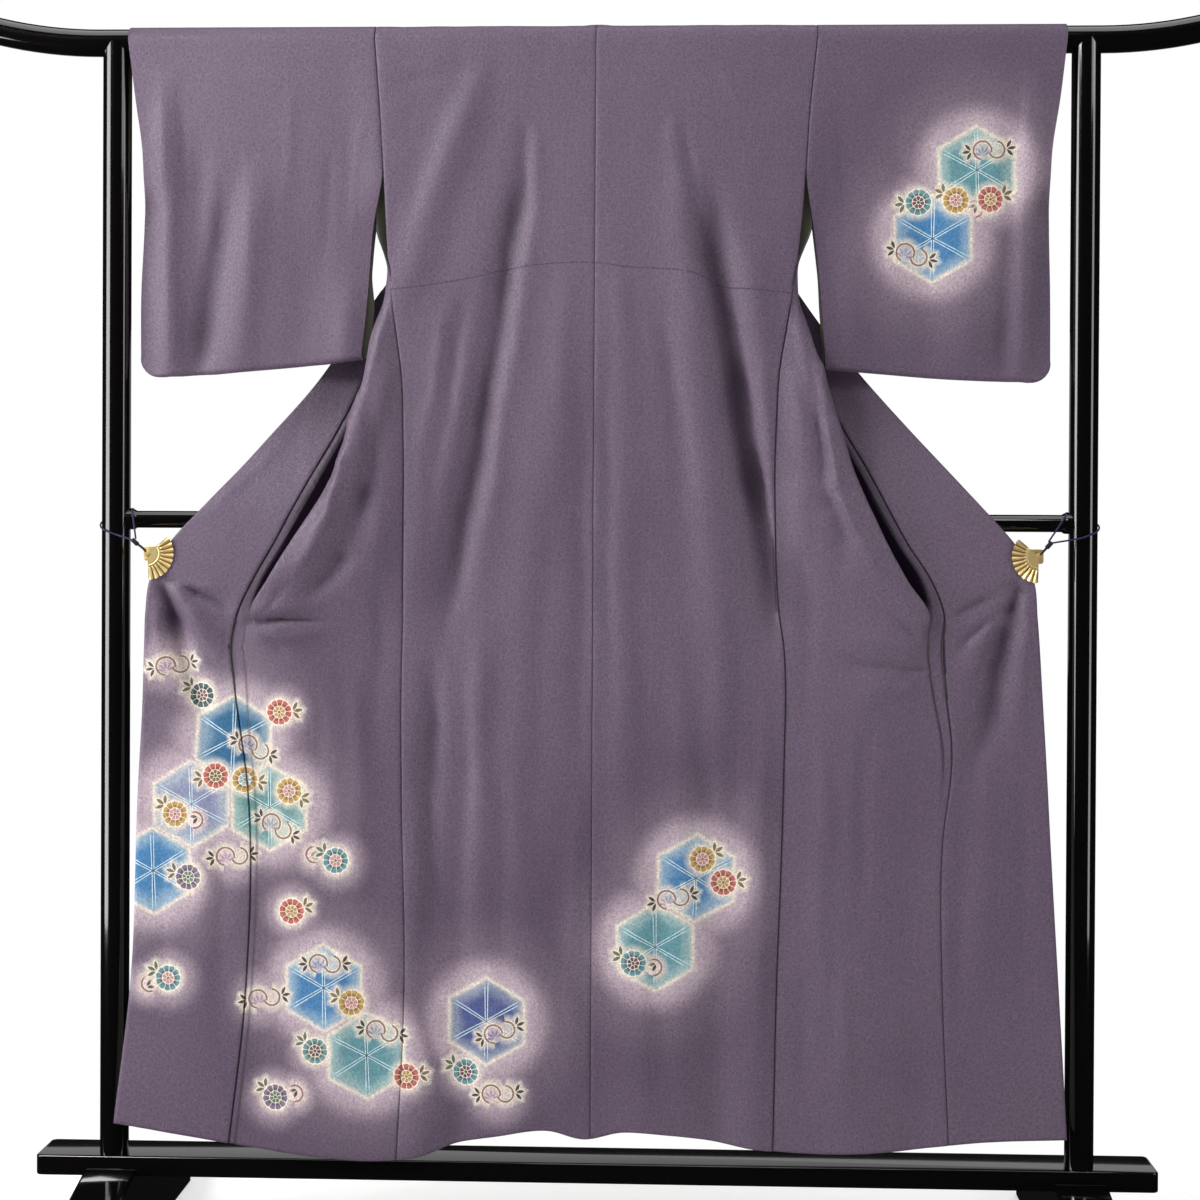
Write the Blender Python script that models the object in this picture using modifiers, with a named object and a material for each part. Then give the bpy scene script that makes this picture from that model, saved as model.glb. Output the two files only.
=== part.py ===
"""A lined silk kimono, hung back outward over a lacquered rack, with its fronts spread by two clips.

Metres, +Z up. The origin is on the ground at the middle of the rack, and the garment's back faces -Y.
Widths of the garment are given outward from its centre, so that one table serves a left or a right side.
"""

import math

import bmesh
import bpy
import numpy as np
from mathutils import Matrix, Vector

# Rack
GROUND_GAP = 0.0003  # clearance between pieces that touch
POST_X = 0.678
POST_RADIUS = 0.020
RAIL_Y = -0.021  # posts, top rail and middle rail share this plane
RAIL_Z = 1.7015
RAIL_RADIUS = 0.019
RAIL_STRAIGHT = 0.700  # half length before the ends sweep up
RAIL_SWEEP_RADIUS = 0.640
RAIL_HALF = 0.950
MID_RAIL_Z = 1.030
MID_RAIL_RADIUS = 0.012
BOARD_HALF = 0.785
BOARD_DEPTH = 0.084
BOARD_THICK = 0.028
BOARD_TOP = 0.133
FOOT_WIDTH = 0.074
FOOT_HALF = 0.290
FOOT_PEAK = 0.125
FOOT_END = 0.057
BOARD_BEVEL = 0.0015
FOOT_BEVEL = 0.003
POST_SEAT_LENGTH = 0.100
RAIL_SWEEP_STEPS = 8
ROUND_SIDES = 24
POST_SIDES = 32
SMOOTH_BELOW = 40.0  # degrees between faces

# Cloth
WALL = 0.0015
COLLAR_WALL = 0.003
COLLAR_WIDTH = 0.055
SEAM_GAP = 0.0003
RIDGE_GAP = 0.0008  # between back and front on the rail, where the wall's ends lean together
OVER_RAIL = 0.0205  # from the rail's axis to the middle of the cloth wall
COLLAR_OVER_RAIL = 0.0245
ARMHOLE_GAP = 0.0006
SEAM_LAP = WALL + 2 * SEAM_GAP  # a front starts this far behind the back at the side seam
ARMHOLE_FOOT = 1.520
SIDE_SEAM_TOP = 1.387
HEM_BASE = 0.165
HEM_BLEND_TOP = 0.550
CENTRE_X = -0.002
NECK_HALF = 0.072
NECK_ANGLE = 75.0
BACK_LEAN = 0.013  # how far the back comes forward between the rail and this height
BACK_LEAN_FOOT = 1.050
FAR_DRAW = 0.030  # metres that the far layers draw in for each metre they fall
FOLD_FADE_TOP = 0.12
FOLD_FADE_FOOT = 0.06
CLOTH_SMOOTH_BELOW = 60.0
CUFF_FOOT = 1.490
SLEEVE_CLOSING = 0.045
SLEEVE_END_GAP = 0.0022
SLEEVE_FOLD_RADIUS = 0.007
SLEEVE_CORNER = 0.026
SLEEVE_PLAIN_Z = 1.300  # a height above the rounded corner
SLEEVE_FAR_WAVE = 0.6  # share of the near layer's folds that the far layer has
ARMHOLE_SEWN = 0.147  # share of the sleeve's width over which it bends to meet the back
ARMHOLE_EASE = 0.10
CUFF_EASE = 0.03
COLLAR_FOOT = 1.004
COLLAR_OFFSET = 0.0046  # from a front's middle to the collar's, behind it
COLLAR_SEATED = 0.0015  # so much nearer the front where the two are sewn together
COLLAR_SEAT_EASE = 0.15
COLLAR_CLEAR_Z = 1.600  # above this the collar hangs clear of the rail
LAPEL_TURN = 1.560  # above this a front turns over too steeply for the collar to follow it
LAPEL_TURN_EASE = 0.06

# Cells of the cloth's grids
ARC_CELLS = 4  # round each quarter of the rail
FRONT_CELLS = (5, 2, 5, 4)  # across a front: side seam to crest, ridge, valley and the overlap's seam
OVERLAP_CELLS = 5
BACK_CELLS = 10
COLLAR_CELLS = 4
COLLAR_STEPS = 20
NECK_STEPS = 4
NECK_EASE_STEPS = 4
SLEEVE_CELLS = 11
SLEEVE_FALL_CELLS = 9
SLEEVE_FOOT_CELLS = 3
SLEEVE_ROW_POWER = 0.9  # below 1 the rows lie closer toward the foot
FINE_ROWS_FOOT = 0.86
FRONT_ROW = 0.046
BACK_ROW = 0.060
LOW_ROW = 0.087

# Height, and how far each line lies outward from the centre and behind the rack's middle plane:
# the side seam, the crest and the outer ridge of the front's slack, the valley behind it, the
# overlap's seam and the outer edge.
FRONT_COLUMNS = ("z", "side_x", "crest_x", "crest_y", "ridge_x", "ridge_y", "valley_x", "valley_y",
                 "seam_x", "seam_y", "edge_x", "edge_y")
FRONT_ROWS = {
    "left": (
        (1.7015, 0.311, 0.270, -0.0005, 0.220, -0.0005, 0.150, -0.0005, 0.075, -0.0005, 0.075, -0.0005),
        (1.600, 0.303, 0.272, 0.002, 0.215, 0.008, 0.107, 0.016, 0.137, 0.034, 0.137, 0.034),
        (1.520, 0.298, 0.270, 0.002, 0.215, 0.011, 0.127, 0.022, 0.190, 0.042, 0.190, 0.042),
        (1.450, 0.294, 0.276, -0.006, 0.230, 0.012, 0.155, 0.024, 0.243, 0.040, 0.243, 0.040),
        (1.387, 0.290, 0.290, -0.026, 0.268, -0.002, 0.190, 0.020, 0.291, 0.034, 0.291, 0.034),
        (1.300, 0.279, 0.308, -0.056, 0.320, -0.048, 0.235, 0.012, 0.306, 0.022, 0.348, 0.016),
        (1.221, 0.269, 0.331, -0.066, 0.337, -0.058, 0.268, -0.002, 0.337, 0.004, 0.400, 0.000),
        (1.153, 0.267, 0.345, -0.073, 0.352, -0.065, 0.292, -0.018, 0.364, -0.012, 0.457, -0.014),
        (1.100, 0.266, 0.358, -0.079, 0.371, -0.071, 0.310, -0.034, 0.394, -0.030, 0.502, -0.028),
        (1.049, 0.266, 0.372, -0.085, 0.399, -0.077, 0.340, -0.048, 0.424, -0.043, 0.549, -0.041),
        (1.000, 0.266, 0.390, -0.086, 0.426, -0.078, 0.376, -0.054, 0.446, -0.048, 0.594, -0.045),
        (0.950, 0.266, 0.425, -0.079, 0.455, -0.075, 0.430, -0.058, 0.476, -0.051, 0.622, -0.048),
        (0.900, 0.266, 0.455, -0.068, 0.474, -0.067, 0.482, -0.058, 0.497, -0.053, 0.629, -0.050),
        (0.860, 0.267, 0.430, -0.063, 0.466, -0.061, 0.488, -0.055, 0.508, -0.053, 0.630, -0.051),
        (0.800, 0.268, 0.400, -0.061, 0.446, -0.059, 0.476, -0.054, 0.503, -0.053, 0.631, -0.052),
        (0.650, 0.267, 0.370, -0.060, 0.420, -0.058, 0.452, -0.053, 0.483, -0.054, 0.638, -0.053),
        (0.380, 0.262, 0.362, -0.060, 0.412, -0.057, 0.450, -0.053, 0.485, -0.055, 0.647, -0.054),
        (0.165, 0.272, 0.376, -0.061, 0.428, -0.058, 0.467, -0.054, 0.508, -0.056, 0.670, -0.056),
    ),
    "right": (
        (1.7015, 0.305, 0.268, -0.0005, 0.220, -0.0005, 0.150, -0.0005, 0.073, -0.0005, 0.073, -0.0005),
        (1.600, 0.295, 0.266, 0.002, 0.210, 0.008, 0.105, 0.016, 0.134, 0.034, 0.134, 0.034),
        (1.520, 0.290, 0.264, 0.002, 0.210, 0.011, 0.124, 0.022, 0.182, 0.042, 0.182, 0.042),
        (1.450, 0.285, 0.268, -0.006, 0.224, 0.012, 0.148, 0.024, 0.227, 0.040, 0.227, 0.040),
        (1.387, 0.278, 0.278, -0.026, 0.257, -0.002, 0.176, 0.020, 0.264, 0.034, 0.264, 0.034),
        (1.300, 0.264, 0.290, -0.054, 0.302, -0.046, 0.205, 0.012, 0.280, 0.022, 0.322, 0.016),
        (1.238, 0.254, 0.312, -0.061, 0.319, -0.053, 0.235, 0.000, 0.306, 0.006, 0.370, 0.002),
        (1.165, 0.250, 0.329, -0.071, 0.337, -0.062, 0.266, -0.018, 0.344, -0.012, 0.433, -0.014),
        (1.100, 0.248, 0.339, -0.079, 0.357, -0.070, 0.302, -0.036, 0.381, -0.031, 0.492, -0.028),
        (1.040, 0.249, 0.352, -0.085, 0.383, -0.077, 0.340, -0.050, 0.412, -0.045, 0.546, -0.043),
        (1.000, 0.250, 0.371, -0.085, 0.402, -0.078, 0.372, -0.056, 0.434, -0.049, 0.581, -0.047),
        (0.950, 0.252, 0.403, -0.079, 0.428, -0.076, 0.418, -0.060, 0.466, -0.052, 0.606, -0.050),
        (0.900, 0.256, 0.432, -0.069, 0.455, -0.067, 0.466, -0.059, 0.484, -0.053, 0.611, -0.051),
        (0.860, 0.262, 0.414, -0.064, 0.447, -0.062, 0.465, -0.056, 0.481, -0.053, 0.614, -0.052),
        (0.800, 0.265, 0.390, -0.062, 0.432, -0.059, 0.462, -0.054, 0.486, -0.053, 0.618, -0.052),
        (0.720, 0.264, 0.372, -0.060, 0.418, -0.058, 0.458, -0.054, 0.495, -0.054, 0.623, -0.053),
        (0.580, 0.261, 0.360, -0.060, 0.405, -0.058, 0.445, -0.054, 0.482, -0.055, 0.631, -0.054),
        (0.395, 0.255, 0.356, -0.060, 0.403, -0.058, 0.444, -0.054, 0.483, -0.055, 0.642, -0.055),
        (0.165, 0.251, 0.362, -0.061, 0.410, -0.059, 0.452, -0.055, 0.493, -0.057, 0.655, -0.057),
    ),
}

# Height of the hem across the whole garment, from its left corner to its right one.
HEM_COLUMNS = ("x", "z")
HEM_ROWS = (
    (-0.670, 0.184), (-0.563, 0.167), (-0.454, 0.150), (-0.374, 0.141), (-0.274, 0.138),
    (-0.239, 0.144), (-0.186, 0.163), (-0.132, 0.174), (-0.060, 0.182), (-0.011, 0.171),
    (0.044, 0.182), (0.110, 0.178), (0.251, 0.159), (0.331, 0.157), (0.410, 0.161),
    (0.542, 0.176), (0.655, 0.181),
)

OVERLAP_TOP = 1.362

# Each fold runs straight from its top (x, z) to its foot (x, z), then come its half width and its depth
# toward -Y, which is negative for a valley.
BACK_FOLDS = (
    (0.148, 1.540, 0.246, 0.880, 0.021, -0.011),
    (0.205, 1.460, 0.268, 1.000, 0.022, 0.006),
    (0.112, 1.580, 0.190, 0.700, 0.032, 0.008),
    (-0.092, 1.560, -0.215, 0.900, 0.022, -0.007),
    (-0.152, 1.690, -0.272, 1.330, 0.026, 0.005),
    (-0.165, 1.300, -0.262, 0.930, 0.026, 0.004),
    (-0.060, 1.300, -0.120, 0.150, 0.045, 0.006),
    (0.040, 1.150, 0.070, 0.150, 0.040, 0.006),
    (-0.175, 0.800, -0.195, 0.130, 0.030, -0.006),
    (0.150, 0.760, 0.170, 0.130, 0.030, -0.006),
    (-0.235, 0.700, -0.245, 0.130, 0.028, 0.005),
    (0.225, 0.700, 0.225, 0.130, 0.028, 0.005),
)
SLEEVE_FOLDS = {
    "left": (
        (-0.608, 1.680, -0.600, 1.230, 0.018, 0.006),
        (-0.560, 1.600, -0.565, 1.230, 0.020, -0.005),
        (-0.508, 1.540, -0.556, 1.240, 0.018, -0.007),
        (-0.470, 1.560, -0.505, 1.230, 0.024, 0.006),
        (-0.400, 1.480, -0.420, 1.240, 0.030, -0.004),
        (-0.345, 1.420, -0.352, 1.240, 0.020, 0.005),
    ),
    "right": (
        (0.600, 1.680, 0.594, 1.230, 0.016, 0.006),
        (0.570, 1.640, 0.560, 1.230, 0.016, -0.005),
        (0.500, 1.560, 0.520, 1.230, 0.026, 0.005),
        (0.440, 1.520, 0.455, 1.240, 0.026, -0.005),
        (0.350, 1.460, 0.362, 1.240, 0.024, 0.005),
    ),
}

# Height, and how far a sleeve's body end and its cuff end lie outward from the centre.
SLEEVE_COLUMNS = ("z", "inner_x", "outer_x")
SLEEVE_ROWS = {
    "left": (
        (1.7015, 0.311, 0.658), (1.620, 0.304, 0.648), (1.542, 0.299, 0.638),
        (1.520, 0.298, 0.637), (1.435, 0.312, 0.639), (1.350, 0.319, 0.643), (1.240, 0.331, 0.643),
    ),
    "right": (
        (1.7015, 0.305, 0.649), (1.620, 0.296, 0.640), (1.540, 0.291, 0.629),
        (1.520, 0.290, 0.628), (1.434, 0.301, 0.628), (1.355, 0.310, 0.630), (1.240, 0.319, 0.631),
    ),
}
SLEEVE_FOOT_COLUMNS = ("x", "z")  # outward distance, and height of the sleeve's lower fold there
SLEEVE_FOOT_ROWS = {
    "left": ((0.330, 1.256), (0.373, 1.250), (0.458, 1.242), (0.567, 1.233), (0.643, 1.231)),
    "right": ((0.319, 1.243), (0.372, 1.239), (0.509, 1.229), (0.631, 1.226)),
}

# Clips and their cords
FAN_PIVOT = {"left": (0.626, 0.982), "right": (0.612, 0.984)}  # outward x, and z
FAN_RADIUS = 0.037
FAN_HUB = 0.006
FAN_START = 40.0  # degrees above the level, on the garment's side
FAN_END = -88.0
FAN_PLEATS = 10
FAN_PLEAT_DEPTH = 0.0012
FAN_HUB_PLEAT = 0.3  # share of that depth at the hub
FAN_WALL = 0.0009
CLIP_SPOTS = ((-0.006, -0.034), (-0.018, -0.026), (-0.026, 0.0), (-0.024, 0.018), (-0.012, -0.010))
JAW_LENGTH = 0.040
JAW_HEIGHT = 0.020
JAW_OVERHANG = 0.008
JAW_THICK = 0.0015
PIN_RADIUS = 0.0016
PIN_INSET = 0.008
PIN_SIDES = 12
TIE_RADIUS = 0.0045
TIE_SEGMENTS = 12
TIE_RINGS = 8
CORD_RADIUS = 0.00125
CORD_SIDES = 8
CORD_CLEARANCE = 0.0008
CORD_OVER_MID_RAIL = 0.0006
TIE_SPOT = {"left": Vector((-0.644, -0.0500, 0.998)), "right": Vector((0.6265, -0.0510, 1.000))}
CORD_LEAVES = (0.5, 0.05, 0.35)  # how the cord leaves its knot and comes back to it, outward x first
CORD_RETURNS = (-0.1, 0.45, 0.85)
CORD_ROUND_POST = (  # degrees round the post from its outer side, and height above the knot
    (-105, 0.010), (-75, 0.014), (-40, 0.019), (0, 0.026), (40, 0.033), (80, 0.039),
)
CORD_BACK = (  # distance in from the post's middle, and place from the middle rail's plane and crest
    (0.01700, 0.0165, 0.0008), (0.02355, 0.0040, 0.0002), (0.02555, -0.0095, -0.0030),
)
CORD_SPAN_CELLS = 3

COLOURS = {
    "lacquer": ((0.006, 0.005, 0.005), 0.08, 0.0),
    "silk": ((0.150, 0.112, 0.165), 0.48, 0.0),
    "gilt": ((0.680, 0.440, 0.120), 0.28, 1.0),
    "cord": ((0.022, 0.017, 0.110), 0.70, 0.0),
}


def make_material(name):
    colour, roughness, metallic = COLOURS[name]
    material = bpy.data.materials.new(name)
    material.use_nodes = True
    shader = material.node_tree.nodes["Principled BSDF"]
    shader.inputs["Base Color"].default_value = (*colour, 1.0)
    shader.inputs["Roughness"].default_value = roughness
    shader.inputs["Metallic"].default_value = metallic
    return material


def new_object(name, data, collection, finish):
    obj = bpy.data.objects.new(name, data)
    collection.objects.link(obj)
    if finish:
        copy = make_material(finish)
        copy.name = name + "_" + finish
        data.materials.append(copy)
    return obj


def mesh_object(name, shape, collection, finish, smooth_below=SMOOTH_BELOW):
    mesh = bpy.data.meshes.new(name)
    bmesh.ops.recalc_face_normals(shape, faces=shape.faces)
    shape.to_mesh(mesh)
    shape.free()
    mesh.shade_smooth()
    mesh.set_sharp_from_angle(angle=math.radians(smooth_below))
    return new_object(name, mesh, collection, finish)


def smooth_value(rows, columns, name, at):
    """The named column where the first column equals `at`, on a smooth curve through the rows."""
    table = np.array(rows)
    if table[0, 0] > table[-1, 0]:
        table = table[::-1]
    keys, values = table[:, 0], table[:, columns.index(name)]
    slopes = np.gradient(values, keys)
    at = min(max(at, keys[0]), keys[-1])
    i = min(max(int(np.searchsorted(keys, at)) - 1, 0), len(keys) - 2)
    span = keys[i + 1] - keys[i]
    t = (at - keys[i]) / span
    start, end = values[i], values[i + 1]
    return float(
        start * (1 + 2 * t) * (1 - t) ** 2
        + slopes[i] * span * t * (1 - t) ** 2
        + end * t * t * (3 - 2 * t)
        + slopes[i + 1] * span * t * t * (t - 1)
    )


def smooth_step(low, high, at):
    t = min(max((at - low) / (high - low), 0.0), 1.0)
    return t * t * (3 - 2 * t)


def side_sign(side):
    return -1.0 if side == "left" else 1.0


def over_rail(drop, radius=OVER_RAIL):
    """How far out of the rail's plane, and how high, cloth lies that far down from the ridge."""
    quarter = radius * math.pi / 2
    if drop < quarter:
        turn = drop / radius
        return radius * math.sin(turn), RAIL_Z + radius * math.cos(turn)
    return radius, RAIL_Z - (drop - quarter)


def ripple(folds, x, z):
    """Depth toward -Y that a table of folds gives at x, z."""
    depth = 0.0
    for top_x, top_z, foot_x, foot_z, width, height in folds:
        run = min(max((top_z - z) / (top_z - foot_z), 0.0), 1.0)
        line_x = top_x + (foot_x - top_x) * run
        ends = smooth_step(top_z, top_z - FOLD_FADE_TOP, z)
        ends *= smooth_step(foot_z - FOLD_FADE_FOOT, foot_z + FOLD_FADE_FOOT, z)
        depth += height * ends * math.exp(-(((x - line_x) / width) ** 2))
    return depth


def front_value(side, name, z):
    return smooth_value(FRONT_ROWS[side], FRONT_COLUMNS, name, z)


def back_y(x, z):
    """The back's wall leans forward of the rail as it falls, with its folds."""
    lean = BACK_LEAN * smooth_step(RAIL_Z, BACK_LEAN_FOOT, z)
    return RAIL_Y - OVER_RAIL - lean - ripple(BACK_FOLDS, x, z)


def far_y(z):
    """The layers behind the rail draw in toward it as they fall."""
    return RAIL_Y + OVER_RAIL - FAR_DRAW * (RAIL_Z - z)


def side_y(side, z):
    """The front's side edge follows the far layer, then crosses to the back's side seam."""
    joined = back_y(side_sign(side) * front_value(side, "side_x", z), z) + SEAM_LAP
    loose = smooth_step(SIDE_SEAM_TOP, ARMHOLE_FOOT, z)
    return joined + (far_y(z) - joined) * loose


def hem_height(x, z):
    """Height of a point that would be at z if the hem were level."""
    hem = smooth_value(HEM_ROWS, HEM_COLUMNS, "z", x)
    return z + (hem - HEM_BASE) * smooth_step(HEM_BLEND_TOP, HEM_BASE, z)


def curve_through(knots, cells):
    """Points on a smooth plane curve through the knots, with so many cells between each two."""
    knots = [Vector(knot) for knot in knots]
    padded = [2 * knots[0] - knots[1], *knots, 2 * knots[-1] - knots[-2]]
    times = [0.0]
    for before, after in zip(padded, padded[1:]):
        times.append(times[-1] + max((after - before).length, 1e-5) ** 0.5)
    points = []
    for i, count in enumerate(cells):
        p0, p1, p2, p3 = padded[i : i + 4]
        t0, t1, t2, t3 = times[i : i + 4]
        last = count + 1 if i == len(cells) - 1 else count
        for step in range(last):
            t = t1 + (t2 - t1) * step / count
            a1 = p0 * ((t1 - t) / (t1 - t0)) + p1 * ((t - t0) / (t1 - t0))
            a2 = p1 * ((t2 - t) / (t2 - t1)) + p2 * ((t - t1) / (t2 - t1))
            a3 = p2 * ((t3 - t) / (t3 - t2)) + p3 * ((t - t2) / (t3 - t2))
            b1 = a1 * ((t2 - t) / (t2 - t0)) + a2 * ((t - t0) / (t2 - t0))
            b2 = a2 * ((t3 - t) / (t3 - t1)) + a3 * ((t - t1) / (t3 - t1))
            points.append(b1 * ((t2 - t) / (t2 - t1)) + b2 * ((t - t1) / (t2 - t1)))
    return points


def cross_section(side, z):
    """A front and its overlap at z, as outward x and y, from the side seam to the outer edge."""
    knots = [(front_value(side, "side_x", z) + SEAM_GAP, side_y(side, z))]
    for name in ("crest", "ridge", "valley", "seam", "edge")[: 4 if z > OVERLAP_TOP else 5]:
        knots.append((front_value(side, name + "_x", z), front_value(side, name + "_y", z)))
    return curve_through(knots, (*FRONT_CELLS, OVERLAP_CELLS)[: len(knots) - 1])


def cloth_grid(name, collection, columns, rows, place, wall=WALL, closed=False, finish="silk"):
    """A wall of cloth: a grid whose points `place` sets from their column and row, made thick."""
    shape = bmesh.new()
    bmesh.ops.create_grid(shape, x_segments=columns, y_segments=rows, size=0.5)
    for vert in shape.verts:
        vert.co = place(round((vert.co.x + 0.5) * columns), round((vert.co.y + 0.5) * rows))
    if closed:
        bmesh.ops.remove_doubles(shape, verts=shape.verts, dist=1e-5)
    obj = mesh_object(name, shape, collection, finish, CLOTH_SMOOTH_BELOW)
    solidify = obj.modifiers.new("Wall", "SOLIDIFY")
    solidify.thickness = wall
    solidify.offset = 0.0


def falls(row):
    """How far down from the ridge each row of a grid lies: rows so far apart, then wide ones."""
    arc = OVER_RAIL * math.pi / 2
    drops = [arc * step / ARC_CELLS for step in range(ARC_CELLS)]
    fine = np.linspace(RAIL_Z, FINE_ROWS_FOOT, round((RAIL_Z - FINE_ROWS_FOOT) / row) + 1)
    coarse = np.linspace(FINE_ROWS_FOOT, HEM_BASE, round((FINE_ROWS_FOOT - HEM_BASE) / LOW_ROW) + 1)[1:]
    return drops + [arc + RAIL_Z - z for z in np.concatenate([fine, coarse])]


def make_back(side, collection):
    sign = side_sign(side)
    drops = falls(BACK_ROW)
    half_gap = SEAM_GAP / 2

    def place(column, row):
        out, z = over_rail(drops[row])
        table_z = min(z, RAIL_Z)
        start = CENTRE_X + sign * half_gap
        end = sign * (front_value(side, "side_x", table_z) - half_gap)
        x = start + (end - start) * column / BACK_CELLS
        y = RAIL_Y - out if z > RAIL_Z - 1e-6 else back_y(x, z)
        if row == 0:
            y -= RIDGE_GAP / 2
        return Vector((x, y, hem_height(x, z)))

    cloth_grid("back_" + side, collection, BACK_CELLS, len(drops) - 1, place)


def shortened(end, neighbour):
    """The end of a section, drawn back from the seam; more than half the gap, as the walls' ends lean."""
    return end + (neighbour - end).normalized() * (SEAM_GAP * 3 / 4)


def make_front(side, collection):
    sign = side_sign(side)
    columns = sum(FRONT_CELLS)
    drops = falls(FRONT_ROW)
    sections = [cross_section(side, min(over_rail(drop)[1], RAIL_Z)) for drop in drops]

    def place(column, row):
        out, z = over_rail(drops[row])
        section = sections[row]
        x, y = section[column] if column < columns else shortened(section[column], section[column - 1])
        if z > RAIL_Z:
            y = RAIL_Y + out + (RIDGE_GAP / 2 if row == 0 else 0.0)
        return Vector((sign * x, y, hem_height(sign * x, z)))

    cloth_grid("front_" + side, collection, columns, len(drops) - 1, place)


def make_overlap(side, collection):
    """The half-width panel sewn between a front's seam and its outer edge."""
    sign = side_sign(side)
    first = sum(FRONT_CELLS)
    heights = [over_rail(drop)[1] for drop in falls(FRONT_ROW)]
    heights = [z for z in heights if z < OVERLAP_TOP]
    sections = [cross_section(side, z) for z in heights]

    def place(column, row):
        section = sections[row]
        x, y = section[first + column] if column else shortened(section[first], section[first + 1])
        return Vector((sign * x, y, hem_height(sign * x, heights[row])))

    cloth_grid("overlap_" + side, collection, OVERLAP_CELLS, len(heights) - 1, place)


def lapel_y(side, x, z):
    """How far back the front's folded-over part, or the overlap, lies at an outward x."""
    section = cross_section(side, z)[sum(FRONT_CELLS[:3]) :]
    points = sorted((point.x, point.y) for point in section)
    level = float(np.interp(x, [point[0] for point in points], [point[1] for point in points]))
    farthest = max(point[1] for point in points)
    return level + (farthest - level) * smooth_step(LAPEL_TURN - LAPEL_TURN_EASE, LAPEL_TURN, z)


def collar_line(side):
    """The collar's seam on one side, from the middle of the neck to the clip, as outward x and z."""
    line = []
    for step in range(NECK_STEPS):
        part = step / NECK_STEPS
        turn = math.radians(NECK_ANGLE) * (1 - part ** 2)
        line.append(Vector((NECK_HALF * part, RAIL_Z + COLLAR_OVER_RAIL * math.sin(turn))))
    for step in range(COLLAR_STEPS + 1):
        z = RAIL_Z + (COLLAR_FOOT - RAIL_Z) * step / COLLAR_STEPS
        line.append(Vector((front_value(side, "edge_x", z), z)))
    return line


def collar_point(side, line, index, part):
    """A point of the collar, which is folded behind the fronts and hangs behind the rail at the neck."""
    sign = side_sign(side)
    width = COLLAR_WIDTH * part
    x, z = line[index]
    if index < NECK_STEPS:
        turn = math.asin(min((z - RAIL_Z) / COLLAR_OVER_RAIL, 1.0))
        quarter = COLLAR_OVER_RAIL * math.pi / 2
        out, z = over_rail(quarter - turn * COLLAR_OVER_RAIL + width, COLLAR_OVER_RAIL)
        return Vector((sign * x, RAIL_Y + out, z))
    after = line[min(index + 1, len(line) - 1)]
    along = (after - line[index - 1]).normalized()
    inward = Vector((along.y, -along.x))
    level = smooth_step(NECK_STEPS + NECK_EASE_STEPS, NECK_STEPS, index)
    inset = inward.lerp(Vector((0.0, -1.0)), level).normalized() * width
    seated = COLLAR_SEATED * (1.0 - part) * smooth_step(LAPEL_TURN, LAPEL_TURN - COLLAR_SEAT_EASE, z)
    y = lapel_y(side, x + inset.x, min(z + inset.y, RAIL_Z)) + COLLAR_OFFSET - seated
    if z > COLLAR_CLEAR_Z:
        y = max(y, RAIL_Y + COLLAR_OVER_RAIL)
    return Vector((sign * (x + inset.x), y, z + inset.y))


def make_collar(side, collection):
    line = collar_line(side)

    def place(column, row):
        point = collar_point(side, line, column, row / COLLAR_CELLS)
        if column == 0:
            point.x = side_sign(side) * SEAM_GAP / 2
        return point

    cloth_grid("collar_" + side, collection, len(line) - 1, COLLAR_CELLS, place, COLLAR_WALL)


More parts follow.
